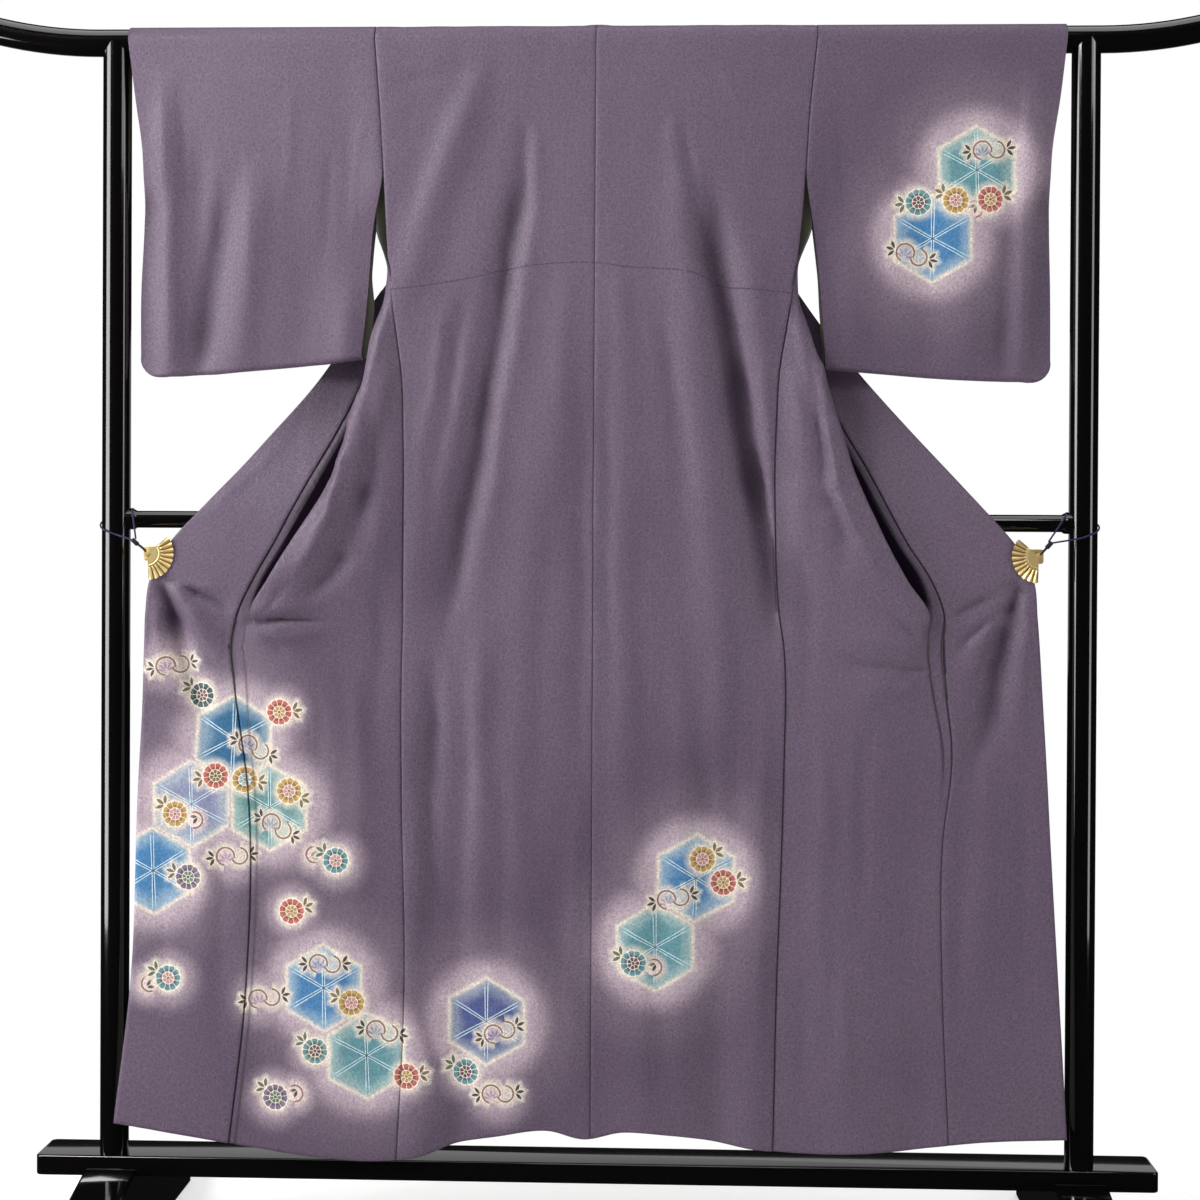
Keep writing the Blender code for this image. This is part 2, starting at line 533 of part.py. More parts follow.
def make_sleeve(side, collection):
    """A flat bag over the rail: open at the cuff and below the armhole, folded at its foot."""
    sign = side_sign(side)
    crown = 2 * ARC_CELLS
    around = 2 * SLEEVE_FALL_CELLS + crown + SLEEVE_FOOT_CELLS

    def width_at(name, z):
        return smooth_value(SLEEVE_ROWS[side], SLEEVE_COLUMNS, name, min(z, RAIL_Z))

    def foot_height(x):
        return smooth_value(SLEEVE_FOOT_ROWS[side], SLEEVE_FOOT_COLUMNS, "z", x)

    def outward(part, z):
        if z < ARMHOLE_FOOT:
            inner = width_at("inner_x", z) + ARMHOLE_GAP
        else:
            inner = front_value(side, "side_x", min(z, RAIL_Z)) + ARMHOLE_GAP
        outer = width_at("outer_x", z)
        above = z - foot_height(outer)
        if above < SLEEVE_CORNER:
            below = SLEEVE_CORNER - max(above, 0.0)
            outer -= SLEEVE_CORNER - math.sqrt(SLEEVE_CORNER ** 2 - below ** 2)
        return inner + (outer - inner) * part

    def layers(part, z):
        """Y of the near and the far layer."""
        x = outward(part, z)
        fall = (RAIL_Z - z) / (RAIL_Z - foot_height(x))
        half = OVER_RAIL + (SLEEVE_FOLD_RADIUS - OVER_RAIL) * fall
        below_cuff = smooth_step(CUFF_FOOT + CUFF_EASE, CUFF_FOOT - CUFF_EASE, z)
        closing = below_cuff * smooth_step(SLEEVE_CLOSING, 0.0, width_at("outer_x", z) - x)
        half += (SLEEVE_END_GAP / 2 - half) * closing
        wave = ripple(SLEEVE_FOLDS[side], sign * x, z)
        near, far = RAIL_Y - half - wave, RAIL_Y + half - wave * SLEEVE_FAR_WAVE
        sewn = smooth_step(ARMHOLE_SEWN, 0.0, part)
        sewn *= smooth_step(ARMHOLE_FOOT - ARMHOLE_EASE, ARMHOLE_FOOT, z)
        near += (back_y(sign * x, z) - near) * sewn
        far += (far_y(z) - far) * sewn
        return near, far

    def over_crown(part, turn):
        x = outward(part, RAIL_Z)
        y, z = RAIL_Y + OVER_RAIL * math.cos(turn), RAIL_Z + OVER_RAIL * math.sin(turn)
        return Vector((sign * x, y, z))

    def down_layer(part, step, layer):
        base = foot_height(outward(part, SLEEVE_PLAIN_Z)) + SLEEVE_FOLD_RADIUS
        z = RAIL_Z + (base - RAIL_Z) * (step / SLEEVE_FALL_CELLS) ** SLEEVE_ROW_POWER
        return Vector((sign * outward(part, z), layers(part, z)[layer], z))

    def under_fold(part, turn):
        z = foot_height(outward(part, SLEEVE_PLAIN_Z)) + SLEEVE_FOLD_RADIUS
        near, far = layers(part, z)
        half = (far - near) / 2
        low = z - min(half, SLEEVE_FOLD_RADIUS) * math.sin(turn)
        return Vector((sign * outward(part, low), (near + far) / 2 - half * math.cos(turn), low))

    def place(row, column):
        """Rows go down the near layer, round the lower fold, up the far layer and over the rail."""
        part = column / SLEEVE_CELLS
        row %= around
        up = around - crown - row
        if row <= SLEEVE_FALL_CELLS:
            return down_layer(part, row, 0)
        if row <= SLEEVE_FALL_CELLS + SLEEVE_FOOT_CELLS:
            return under_fold(part, math.pi * (row - SLEEVE_FALL_CELLS) / SLEEVE_FOOT_CELLS)
        if up >= 0:
            return down_layer(part, up, 1)
        return over_crown(part, math.pi * -up / crown)

    cloth_grid("sleeve_" + side, collection, around, SLEEVE_CELLS, place, closed=True)


def turned_bar(name, collection, points, radius, finish="lacquer", sides=ROUND_SIDES):
    """A round bar along a path, as a capped curve."""
    curve = bpy.data.curves.new(name, "CURVE")
    curve.dimensions = "3D"
    curve.bevel_depth = radius
    curve.bevel_resolution = sides // 4 - 2 if sides > 8 else 2
    curve.use_fill_caps = True
    spline = curve.splines.new("POLY")
    spline.points.add(len(points) - 1)
    for knot, point in zip(spline.points, points):
        knot.co = (*point, 1.0)
        knot.radius = 1.0
    new_object(name, curve, collection, finish)


def make_top_rail(collection):
    """A straight rail whose two ends sweep up."""
    sweep = math.asin((RAIL_HALF - RAIL_STRAIGHT) / RAIL_SWEEP_RADIUS)
    half = []
    for step in range(RAIL_SWEEP_STEPS + 1):
        turn = sweep * step / RAIL_SWEEP_STEPS
        half.append((RAIL_STRAIGHT + RAIL_SWEEP_RADIUS * math.sin(turn),
                     RAIL_Z + RAIL_SWEEP_RADIUS * (1 - math.cos(turn))))
    points = [Vector((-x, RAIL_Y, z)) for x, z in reversed(half)]
    points += [Vector((x, RAIL_Y, z)) for x, z in half]
    turned_bar("top_rail", collection, points, RAIL_RADIUS)


def cylinder(name, collection, radius, length, centre, axis, finish=None, sides=ROUND_SIDES):
    shape = bmesh.new()
    bmesh.ops.create_cone(shape, cap_ends=True, segments=sides, radius1=radius, radius2=radius,
                          depth=length)
    turn = Vector((0, 0, 1)).rotation_difference(Vector(axis)).to_matrix().to_4x4()
    bmesh.ops.transform(shape, matrix=Matrix.Translation(centre) @ turn, verts=shape.verts)
    return mesh_object(name, shape, collection, finish)


def cut(obj, cutter):
    cutter.hide_render = True
    cutter.display_type = "WIRE"
    boolean = obj.modifiers.new("Cut", "BOOLEAN")
    boolean.operation = "DIFFERENCE"
    boolean.object = cutter


def make_posts(collection, cutters):
    """Each post stands on the board, and its head is hollowed to seat the rail."""
    seat = cylinder("rail_seat", cutters, RAIL_RADIUS + SEAM_GAP, 2 * RAIL_HALF,
                    (0, RAIL_Y, RAIL_Z), (1, 0, 0))
    foot = BOARD_TOP + GROUND_GAP
    for side in ("left", "right"):
        middle = (side_sign(side) * POST_X, RAIL_Y, (RAIL_Z + foot) / 2)
        post = cylinder("post_" + side, collection, POST_RADIUS, RAIL_Z - foot, middle, (0, 0, 1),
                        "lacquer", POST_SIDES)
        cut(post, seat)


def make_mid_rail(collection, cutters):
    """The middle rail's ends are hollowed against the posts."""
    rail = cylinder("mid_rail", collection, MID_RAIL_RADIUS, 2 * POST_X, (0, RAIL_Y, MID_RAIL_Z),
                    (1, 0, 0), "lacquer")
    for side in ("left", "right"):
        centre = (side_sign(side) * POST_X, RAIL_Y, MID_RAIL_Z)
        cut(rail, cylinder("post_seat_" + side, cutters, POST_RADIUS + SEAM_GAP, POST_SEAT_LENGTH, centre,
                           (0, 0, 1), sides=POST_SIDES))


def make_board(collection):
    shape = bmesh.new()
    bmesh.ops.create_cube(shape, size=1.0)
    size = (2 * BOARD_HALF, BOARD_DEPTH, BOARD_THICK)
    bmesh.ops.scale(shape, vec=size, verts=shape.verts)
    bmesh.ops.translate(shape, vec=(0, 0, BOARD_TOP - BOARD_THICK / 2), verts=shape.verts)
    bmesh.ops.bevel(shape, geom=shape.edges, offset=BOARD_BEVEL, segments=1, profile=0.5, affect="EDGES",
                    material=-1)
    mesh_object("base_board", shape, collection, "lacquer")


def make_foot(side, collection):
    """A block that slopes down to both ends, with the board let into its crown."""
    notch = BOARD_DEPTH / 2 + GROUND_GAP
    slope = (FOOT_PEAK - FOOT_END) / FOOT_HALF
    seat = BOARD_TOP - BOARD_THICK - GROUND_GAP
    shoulder = FOOT_PEAK - slope * notch
    half = [(FOOT_HALF, 0.0), (FOOT_HALF, FOOT_END), (notch, shoulder), (notch, seat)]
    outline = half + [(-y, z) for y, z in reversed(half)]
    start = side_sign(side) * POST_X - FOOT_WIDTH / 2
    shape = bmesh.new()
    face = shape.faces.new([shape.verts.new((start, y, z)) for y, z in outline])
    grown = bmesh.ops.extrude_face_region(shape, geom=[face])["geom"]
    corners = [item for item in grown if isinstance(item, bmesh.types.BMVert)]
    bmesh.ops.translate(shape, vec=(FOOT_WIDTH, 0, 0), verts=corners)
    rims = [edge for edge in shape.edges
            if min(vert.co.z for vert in edge.verts) > FOOT_END / 2
            and min(abs(vert.co.y) for vert in edge.verts) >= notch - 1e-6
            and max(abs(vert.co.y) for vert in edge.verts) > notch + 1e-6]
    bmesh.ops.bevel(shape, geom=rims, offset=FOOT_BEVEL, segments=2, profile=0.5, affect="EDGES",
                    material=-1)
    mesh_object("foot_" + side, shape, collection, "lacquer")


def clip_planes(side):
    """Y of the front and the back of the cloth that the clip holds, from spots about the fan's pivot."""
    x, z = FAN_PIVOT[side]
    depths = [lapel_y(side, x + dx, z + dz) for dx, dz in CLIP_SPOTS]
    return min(depths) - WALL / 2, max(depths) + WALL / 2


def fan_plane(side):
    return clip_planes(side)[0] - 2 * SEAM_GAP - (FAN_PLEAT_DEPTH + FAN_WALL) / 2


def make_fan(side, collection):
    """A pleated fan, the clip's front jaw."""
    x, z = FAN_PIVOT[side]
    sign = side_sign(side)
    plane = fan_plane(side)
    columns = 2 * FAN_PLEATS

    def place(column, row):
        turn = math.radians(FAN_START + (FAN_END - FAN_START) * column / columns)
        reach = FAN_HUB + (FAN_RADIUS - FAN_HUB) * row
        crease = FAN_PLEAT_DEPTH / 2 * (1 if column % 2 else -1) * (1.0 if row else FAN_HUB_PLEAT)
        return Vector((sign * (x - reach * math.cos(turn)), plane + crease, z + reach * math.sin(turn)))

    cloth_grid("fan_" + side, collection, columns, 1, place, FAN_WALL, finish="gilt")


def make_jaw(side, collection):
    """The clip's back jaw, with the pin that carries the fan beside the cloth's edge."""
    x, z = FAN_PIVOT[side]
    sign = side_sign(side)
    face = clip_planes(side)[1] + 2 * SEAM_GAP
    shape = bmesh.new()
    bmesh.ops.create_cube(shape, size=1.0)
    bmesh.ops.scale(shape, vec=(JAW_LENGTH, JAW_THICK, JAW_HEIGHT), verts=shape.verts)
    middle = (sign * (x - JAW_LENGTH / 2 + JAW_OVERHANG), face + JAW_THICK / 2, z)
    bmesh.ops.translate(shape, vec=middle, verts=shape.verts)
    mesh_object("jaw_" + side, shape, collection, "gilt")
    front = fan_plane(side) + FAN_WALL / 2 + FAN_PLEAT_DEPTH * FAN_HUB_PLEAT + SEAM_GAP
    back = face - SEAM_GAP
    cylinder("pin_" + side, collection, PIN_RADIUS, back - front,
             (sign * (x - PIN_INSET), (front + back) / 2, z), (0, 1, 0), "gilt", PIN_SIDES)


def make_tie(side, collection):
    """The knot of the cord above the fan's pivot, and the stem that hangs the fan from it."""
    knot = TIE_SPOT[side]
    shape = bmesh.new()
    bmesh.ops.create_uvsphere(shape, u_segments=TIE_SEGMENTS, v_segments=TIE_RINGS, radius=TIE_RADIUS)
    bmesh.ops.translate(shape, vec=knot, verts=shape.verts)
    mesh_object("tie_" + side, shape, collection, "cord")
    x, z = FAN_PIVOT[side]
    hub = Vector((side_sign(side) * x, fan_plane(side), z))
    along = (hub - knot).normalized()
    start = knot + along * (TIE_RADIUS + SEAM_GAP)
    end = hub - along * SEAM_GAP
    points = [start, start.lerp(end, 0.5), end]
    turned_bar("stem_" + side, collection, points, CORD_RADIUS, "cord", CORD_SIDES)


def cord_route(side):
    """From the knot across the post's front, round behind it, over the middle rail and back."""
    sign = side_sign(side)
    knot = TIE_SPOT[side]
    reach = POST_RADIUS + CORD_RADIUS + CORD_CLEARANCE
    crest = MID_RAIL_Z + MID_RAIL_RADIUS + CORD_RADIUS + CORD_OVER_MID_RAIL

    def beside_knot(way):
        return knot + Vector((sign * way[0], way[1], way[2])).normalized() * (TIE_RADIUS + 2 * SEAM_GAP)

    points = [beside_knot(CORD_LEAVES)]
    for degrees, rise in CORD_ROUND_POST:
        turn = math.radians(degrees)
        x, y = POST_X + reach * math.cos(turn), RAIL_Y + reach * math.sin(turn)
        points.append(Vector((sign * x, y, knot.z + rise)))
    for inset, y, rise in CORD_BACK:
        points.append(Vector((sign * (POST_X - inset), RAIL_Y + y, crest + rise)))
    points.append(beside_knot(CORD_RETURNS))
    return points


def make_cord(side, collection):
    knots = cord_route(side)
    points = curve_through(knots, [CORD_SPAN_CELLS] * (len(knots) - 1))
    turned_bar("cord_" + side, collection, points, CORD_RADIUS, "cord", CORD_SIDES)


def main():
    for obj in list(bpy.data.objects):
        bpy.data.objects.remove(obj, do_unlink=True)
    kimono = bpy.data.collections.new("kimono_on_rack")
    cutters = bpy.data.collections.new("cutters")
    bpy.context.scene.collection.children.link(kimono)
    bpy.context.scene.collection.children.link(cutters)
    make_top_rail(kimono)
    make_posts(kimono, cutters)
    make_mid_rail(kimono, cutters)
    make_board(kimono)
    for side in ("left", "right"):
        make_collar(side, kimono)
        make_foot(side, kimono)
        make_back(side, kimono)
        make_front(side, kimono)
        make_overlap(side, kimono)
        make_sleeve(side, kimono)
        make_fan(side, kimono)
        make_jaw(side, kimono)
        make_tie(side, kimono)
        make_cord(side, kimono)


main()
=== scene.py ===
"""A lined silk kimono hung back outward over a black lacquered rack, its fronts spread by two gilt clips.

Metres, +Z up; the garment's back faces -Y. Widths of the garment are given outward from its centre, so
that one table serves a left or a right side.
"""

import math

import bmesh
import bpy
import numpy as np
from bpy.props import FloatProperty, FloatVectorProperty, IntProperty, PointerProperty
from mathutils import Matrix, Vector, noise


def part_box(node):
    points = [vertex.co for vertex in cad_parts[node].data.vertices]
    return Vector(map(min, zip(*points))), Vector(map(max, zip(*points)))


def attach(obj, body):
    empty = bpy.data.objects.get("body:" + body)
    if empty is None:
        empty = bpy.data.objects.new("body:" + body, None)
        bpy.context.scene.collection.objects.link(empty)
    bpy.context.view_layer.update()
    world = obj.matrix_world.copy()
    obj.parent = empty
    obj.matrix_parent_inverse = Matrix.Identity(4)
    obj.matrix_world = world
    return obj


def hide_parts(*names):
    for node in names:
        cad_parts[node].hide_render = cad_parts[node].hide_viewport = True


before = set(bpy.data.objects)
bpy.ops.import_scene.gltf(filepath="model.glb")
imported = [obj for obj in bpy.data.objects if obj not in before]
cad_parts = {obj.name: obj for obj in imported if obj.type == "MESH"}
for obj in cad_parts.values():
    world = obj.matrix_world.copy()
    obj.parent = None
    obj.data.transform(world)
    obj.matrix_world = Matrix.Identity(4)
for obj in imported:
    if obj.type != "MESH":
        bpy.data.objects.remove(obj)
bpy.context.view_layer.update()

bl_info = {
    "name": "Kimono on a Rack",
    "version": (1, 0, 0),
    "blender": (4, 5, 0),
    "location": "3D View > Sidebar > Kimono",
    "description": "A lined silk kimono over a lacquered rack, held open by two gilt fan clips",
    "category": "Add Mesh",
}

SIDES = ("left", "right")


def node_box(name):
    """Lowest and highest corner of one of the frame's nodes."""
    low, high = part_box(name)
    return Vector(low), Vector(high)


def node_middle(name):
    low, high = node_box(name)
    return (low + high) / 2


def node_half(name):
    low, high = node_box(name)
    return (high - low) / 2


def in_metres(table, lengths=None):
    """A table that is written in millimetres, or one for each side.

    `lengths` is how many of a row's values are lengths, if not all are; the others stay as they are.
    """
    if isinstance(table, dict):
        return {side: in_metres(rows, lengths) for side, rows in table.items()}
    if lengths is None:
        lengths = len(table[0])
    return tuple((*(value / 1000 for value in row[:lengths]), *row[lengths:]) for row in table)


# Rack, measured on the frame's nodes
GAP = 0.0003
POST_X = node_middle("post_right").x
POST_RADIUS = node_half("post_right").x
RAIL_Y = node_middle("post_right").y
RAIL_Z = node_box("post_right")[1].z
RAIL_RADIUS = node_half("top_rail").y
RAIL_STRAIGHT = 0.700
RAIL_SWEEP_RADIUS = 0.640
RAIL_HALF = 0.950
MID_RAIL_Z = node_middle("mid_rail").z
MID_RAIL_RADIUS = node_half("mid_rail").z
BOARD_LOW, BOARD_HIGH = node_box("base_board")
FOOT_PEAK = 0.125  # height of a foot's slopes where they would meet in the middle, and at its ends
FOOT_END = 0.057

# Cloth
SEAM_GAP = 0.0003
RIDGE_GAP = 0.0008
ARMHOLE_GAP = 0.0006
OVER_RAIL = 0.0205
COLLAR_OVER_RAIL = 0.0245
COLLAR_WIDTH = 0.055
COLLAR_WALL = 0.003
CENTRE_X = -0.002
ARMHOLE_FOOT = 1.520
SIDE_SEAM_TOP = 1.387
HEM_BASE = 0.165
HEM_BLEND_TOP = 0.550
NECK_HALF = 0.072
NECK_ANGLE = 75.0
CUFF_FOOT = 1.490
SLEEVE_CLOSING = 0.045
SLEEVE_END_GAP = 0.0022
SLEEVE_FOLD_RADIUS = 0.007
SLEEVE_CORNER = 0.026
SLEEVE_PLAIN_Z = 1.300
SLEEVE_LAP = {"left": 0.0085, "right": 0.0020}  # how far the far layer shows beyond the near one
SLEEVE_LAP_TOP = 1.380
UNDERARM_FLARE = 0.014  # how far the front's free edge shows beyond the back's, below the armhole
OVERLAP_TOP = 1.362
COLLAR_FOOT = 1.004
COLLAR_OFFSET = 0.0046
COLLAR_CELLS = (24, 190, 14)  # rows round the neck and down the front, and columns across
COLLAR_SEATED = 0.0015
LAPEL_TURN = 1.560
SEAM_CLOSE_LINES = (0.0004, 0.0011, 0.0020, 0.0031)  # extra lines of the grid beside a seam
SEAM_ROLL = 0.0009  # how far a seam allowance pulls the cloth's edge in
SEAM_ROLL_WIDTH = 0.0030
STITCH_SHADOW = 0.0009
FRONT_SPANS = (0.12, 0.04, 0.07, 0.05)  # about as long as the stretches between a front section's knots
FINE_CELL = 0.0022  # the grid's cell on the last of them, beside the overlap's seam
UNDERARM_OPEN = (1.545, 1.480)  # the flare below grows between these heights
UNDERARM_SHUT = (1.375, 1.440)
BEYOND_SEAM = 0.75 * SEAM_GAP  # how far each piece keeps from the overlap's seam

# Height, and how far each line lies outward from the centre and behind the rack's middle plane:
# the side seam, the crest and the outer ridge of the front's slack, the valley behind it, the
# overlap's seam and the outer edge.
FRONT_COLUMNS = ("z", "side_x", "crest_x", "crest_y", "ridge_x", "ridge_y", "valley_x", "valley_y",
                 "seam_x", "seam_y", "edge_x", "edge_y")
FRONT_ROWS = in_metres({"left": (
    (1701.5, 311, 270, -0.5, 220, -0.5, 150, -0.5, 75, -0.5, 75, -0.5),
    (1600, 303, 272, 2, 215, 8, 107, 16, 137, 34, 137, 34),
    (1520, 298, 270, 2, 215, 11, 127, 22, 190, 42, 190, 42),
    (1450, 294, 276, -6, 230, 12, 155, 24, 243, 40, 243, 40),
    (1387, 290, 290, -26, 268, -2, 190, 20, 291, 34, 291, 34),
    (1300, 279, 299, -52, 309, -44, 230, 12, 306, 22, 348, 16),
    (1221, 269, 316, -66, 323, -58, 262, -2, 337, 4, 400, 0),
    (1153, 267, 329, -73, 341, -65, 286, -18, 368, -12, 457, -14),
    (1100, 266, 342, -79, 357, -71, 302, -34, 396, -30, 502, -28),
    (1049, 266, 362, -85, 386, -77, 330, -48, 423, -43, 549, -41),
    (1000, 266, 384, -86, 419, -78, 370, -54, 448, -48, 594, -45),
    (950, 266, 420, -79, 450, -75, 420, -58, 476, -51, 622, -48),
    (900, 266, 456, -70, 477, -67, 468, -57, 499, -53, 629, -50),
    (860, 267, 430, -63, 466, -61, 488, -55, 508, -53, 630, -51),
    (800, 268, 400, -61, 446, -59, 476, -54, 503, -53, 631, -52),
    (650, 267, 370, -60, 420, -58, 452, -53, 483, -54, 638, -53),
    (380, 262, 362, -60, 412, -57, 450, -53, 485, -55, 647, -54),
    (165, 272, 376, -61, 428, -58, 467, -54, 508, -56, 670, -56),
), "right": (
    (1701.5, 305, 268, -0.5, 220, -0.5, 150, -0.5, 73, -0.5, 73, -0.5),
    (1600, 295, 266, 2, 210, 8, 105, 16, 134, 34, 134, 34),
    (1520, 290, 264, 2, 210, 11, 124, 22, 182, 42, 182, 42),
    (1450, 285, 268, -6, 224, 12, 148, 24, 227, 40, 227, 40),
    (1387, 278, 278, -26, 257, -2, 176, 20, 264, 34, 264, 34),
    (1300, 264, 284, -52, 294, -44, 203, 12, 280, 22, 322, 16),
    (1238, 254, 305, -61, 312, -53, 232, 0, 306, 6, 370, 2),
    (1165, 250, 329, -71, 337, -62, 266, -18, 344, -12, 433, -14),
    (1100, 248, 339, -79, 357, -70, 302, -36, 381, -31, 492, -28),
    (1040, 249, 352, -85, 383, -77, 340, -50, 412, -45, 546, -43),
    (1000, 250, 371, -85, 402, -78, 372, -56, 434, -49, 581, -47),
    (950, 252, 403, -80, 430, -76, 404, -59, 466, -52, 606, -50),
    (900, 256, 436, -72, 461, -68, 452, -58, 484, -53, 611, -51),
    (860, 262, 414, -64, 447, -62, 465, -56, 481, -53, 614, -52),
    (800, 265, 390, -62, 432, -59, 462, -54, 486, -53, 618, -52),
    (720, 264, 372, -60, 418, -58, 458, -54, 495, -54, 623, -53),
    (580, 261, 360, -60, 405, -58, 445, -54, 482, -55, 631, -54),
    (395, 255, 356, -60, 403, -58, 444, -54, 483, -55, 642, -55),
    (165, 251, 362, -61, 410, -59, 452, -55, 493, -57, 655, -57),
)})

# Height of the hem across the whole garment, from its left corner to its right one.
HEM_COLUMNS = ("x", "z")
HEM_ROWS = in_metres((
    (-670, 184), (-563, 167), (-454, 150), (-374, 141), (-274, 138), (-239, 144), (-186, 163),
    (-132, 174), (-60, 182), (-11, 171), (44, 182), (110, 178), (251, 159), (331, 157), (410, 161),
    (542, 176), (655, 181),
))

# Each fold runs straight from its top (x, z) to its foot (x, z), then come its half width and its depth
# toward -Y, which is negative for a valley.
BACK_FOLDS = in_metres((
    (148, 1540, 246, 880, 21, -11), (205, 1460, 268, 1000, 22, 6), (112, 1580, 190, 700, 32, 8),
    (-92, 1560, -215, 900, 22, -7), (-152, 1690, -272, 1330, 26, 5), (-165, 1300, -262, 930, 26, 4),
    (-60, 1300, -120, 150, 45, 6), (40, 1150, 70, 150, 40, 6), (-175, 800, -195, 130, 30, -6),
    (150, 760, 170, 130, 30, -6), (-235, 700, -245, 130, 28, 5), (225, 700, 225, 130, 28, 5),
))
SLEEVE_FOLDS = in_metres({"left": (
    (-608, 1680, -600, 1230, 18, 6), (-560, 1600, -565, 1230, 20, -5), (-508, 1540, -556, 1240, 18, -7),
    (-470, 1560, -505, 1230, 24, 6), (-400, 1480, -420, 1240, 30, -4), (-345, 1420, -352, 1240, 20, 5),
), "right": (
    (600, 1680, 594, 1230, 16, 6), (570, 1640, 560, 1230, 16, -5), (500, 1560, 520, 1230, 26, 5),
    (440, 1520, 455, 1240, 26, -5), (350, 1460, 362, 1240, 24, 5),
)})

# Height, and how far a sleeve's body end and its cuff end lie outward from the centre.
SLEEVE_COLUMNS = ("z", "inner_x", "outer_x")
SLEEVE_ROWS = in_metres({"left": (
    (1701.5, 311, 658), (1620, 304, 648), (1542, 299, 638), (1520, 298, 637), (1435, 312, 639),
    (1350, 319, 643), (1240, 331, 643),
), "right": (
    (1701.5, 305, 649), (1620, 296, 640), (1540, 291, 629), (1520, 290, 628), (1434, 301, 628),
    (1355, 310, 630), (1240, 319, 631),
)})
SLEEVE_FOOT_COLUMNS = ("x", "z")  # outward distance, and height of the sleeve's lower fold there
SLEEVE_FOOT_ROWS = in_metres({"left": (
    (330, 1256), (373, 1250), (458, 1242), (567, 1233), (643, 1231),
), "right": (
    (319, 1243), (372, 1239), (509, 1229), (631, 1226),
)})

# Creases finer than the folds: from (x, z) to (x, z), half width at each end, depth outward from the
# cloth (negative for a trough), how sharp the crease is, from 0, soft, to 1, pressed, and, where it
# is given, how much wider its slope toward -X is than the other one.
BACK_CREASES = in_metres((
    (-152, 1682, -272, 1390, 16, 20, 1.5, 0), (-98, 1600, -110, 1420, 11, 13, -2.2, 0.1),
    (-112, 1500, -143, 1239, 13, 13, -4.2, 0.1, -0.3), (-136, 1290, -214, 820, 13, 22, -6, 0.1, -0.3),
    (-80, 1570, -102, 1300, 11, 14, 2.2, 0.1), (-100, 1360, -170, 900, 13, 20, 2.6, 0.1),
    (-178, 1360, -246, 930, 12, 16, -3.4, 0.1), (-208, 1330, -252, 1060, 9, 12, 2, 0.2),
    (-40, 1400, -56, 1000, 16, 22, 2, 0), (-16, 1200, -18, 600, 10, 14, -1.6, 0),
    (-62, 1060, -92, 420, 18, 24, -2.8, 0), (-150, 900, -172, 300, 18, 22, 3, 0),
    (-222, 860, -236, 220, 14, 18, -2.4, 0), (-128, 700, -120, 180, 14, 20, -2.2, 0),
    (-20, 700, -30, 180, 12, 18, 1.8, 0), (100, 1600, 140, 1440, 12, 16, 3.2, 0.1),
    (116, 1580, 166, 1370, 13, 16, -4, 0.1, 0.4), (154, 1450, 208, 1170, 14, 16, -5.8, 0.1, 0.4),
    (192, 1270, 240, 1010, 15, 14, -7.4, 0.2, 0.5), (222, 1130, 257, 870, 13, 9, -7.4, 0.2, 0.5),
    (173, 1662, 216, 1580, 6, 8, 1, 0.2), (226, 1260, 252, 1020, 8, 8, 2, 0.3),
    (30, 1400, 52, 1060, 14, 18, 1.8, 0), (-228, 860, -218, 320, 16, 22, -5.2, 0),
    (-160, 900, -158, 440, 14, 18, 2.6, 0), (16, 1240, 22, 640, 9, 14, -1.8, 0),
    (92, 1330, 140, 960, 14, 20, -2.4, 0), (60, 1060, 78, 460, 18, 24, -2.6, 0),
    (120, 900, 136, 260, 18, 22, 3, 0), (198, 900, 196, 300, 16, 20, -2.8, 0),
    (236, 800, 232, 220, 10, 14, 2, 0), (90, 560, 94, 180, 12, 18, -2.2, 0),
    (-290, 1640, -180, 1660, 6, 10, -0.8, 0.2), (290, 1620, 200, 1650, 6, 10, -0.8, 0.2),
), 7)
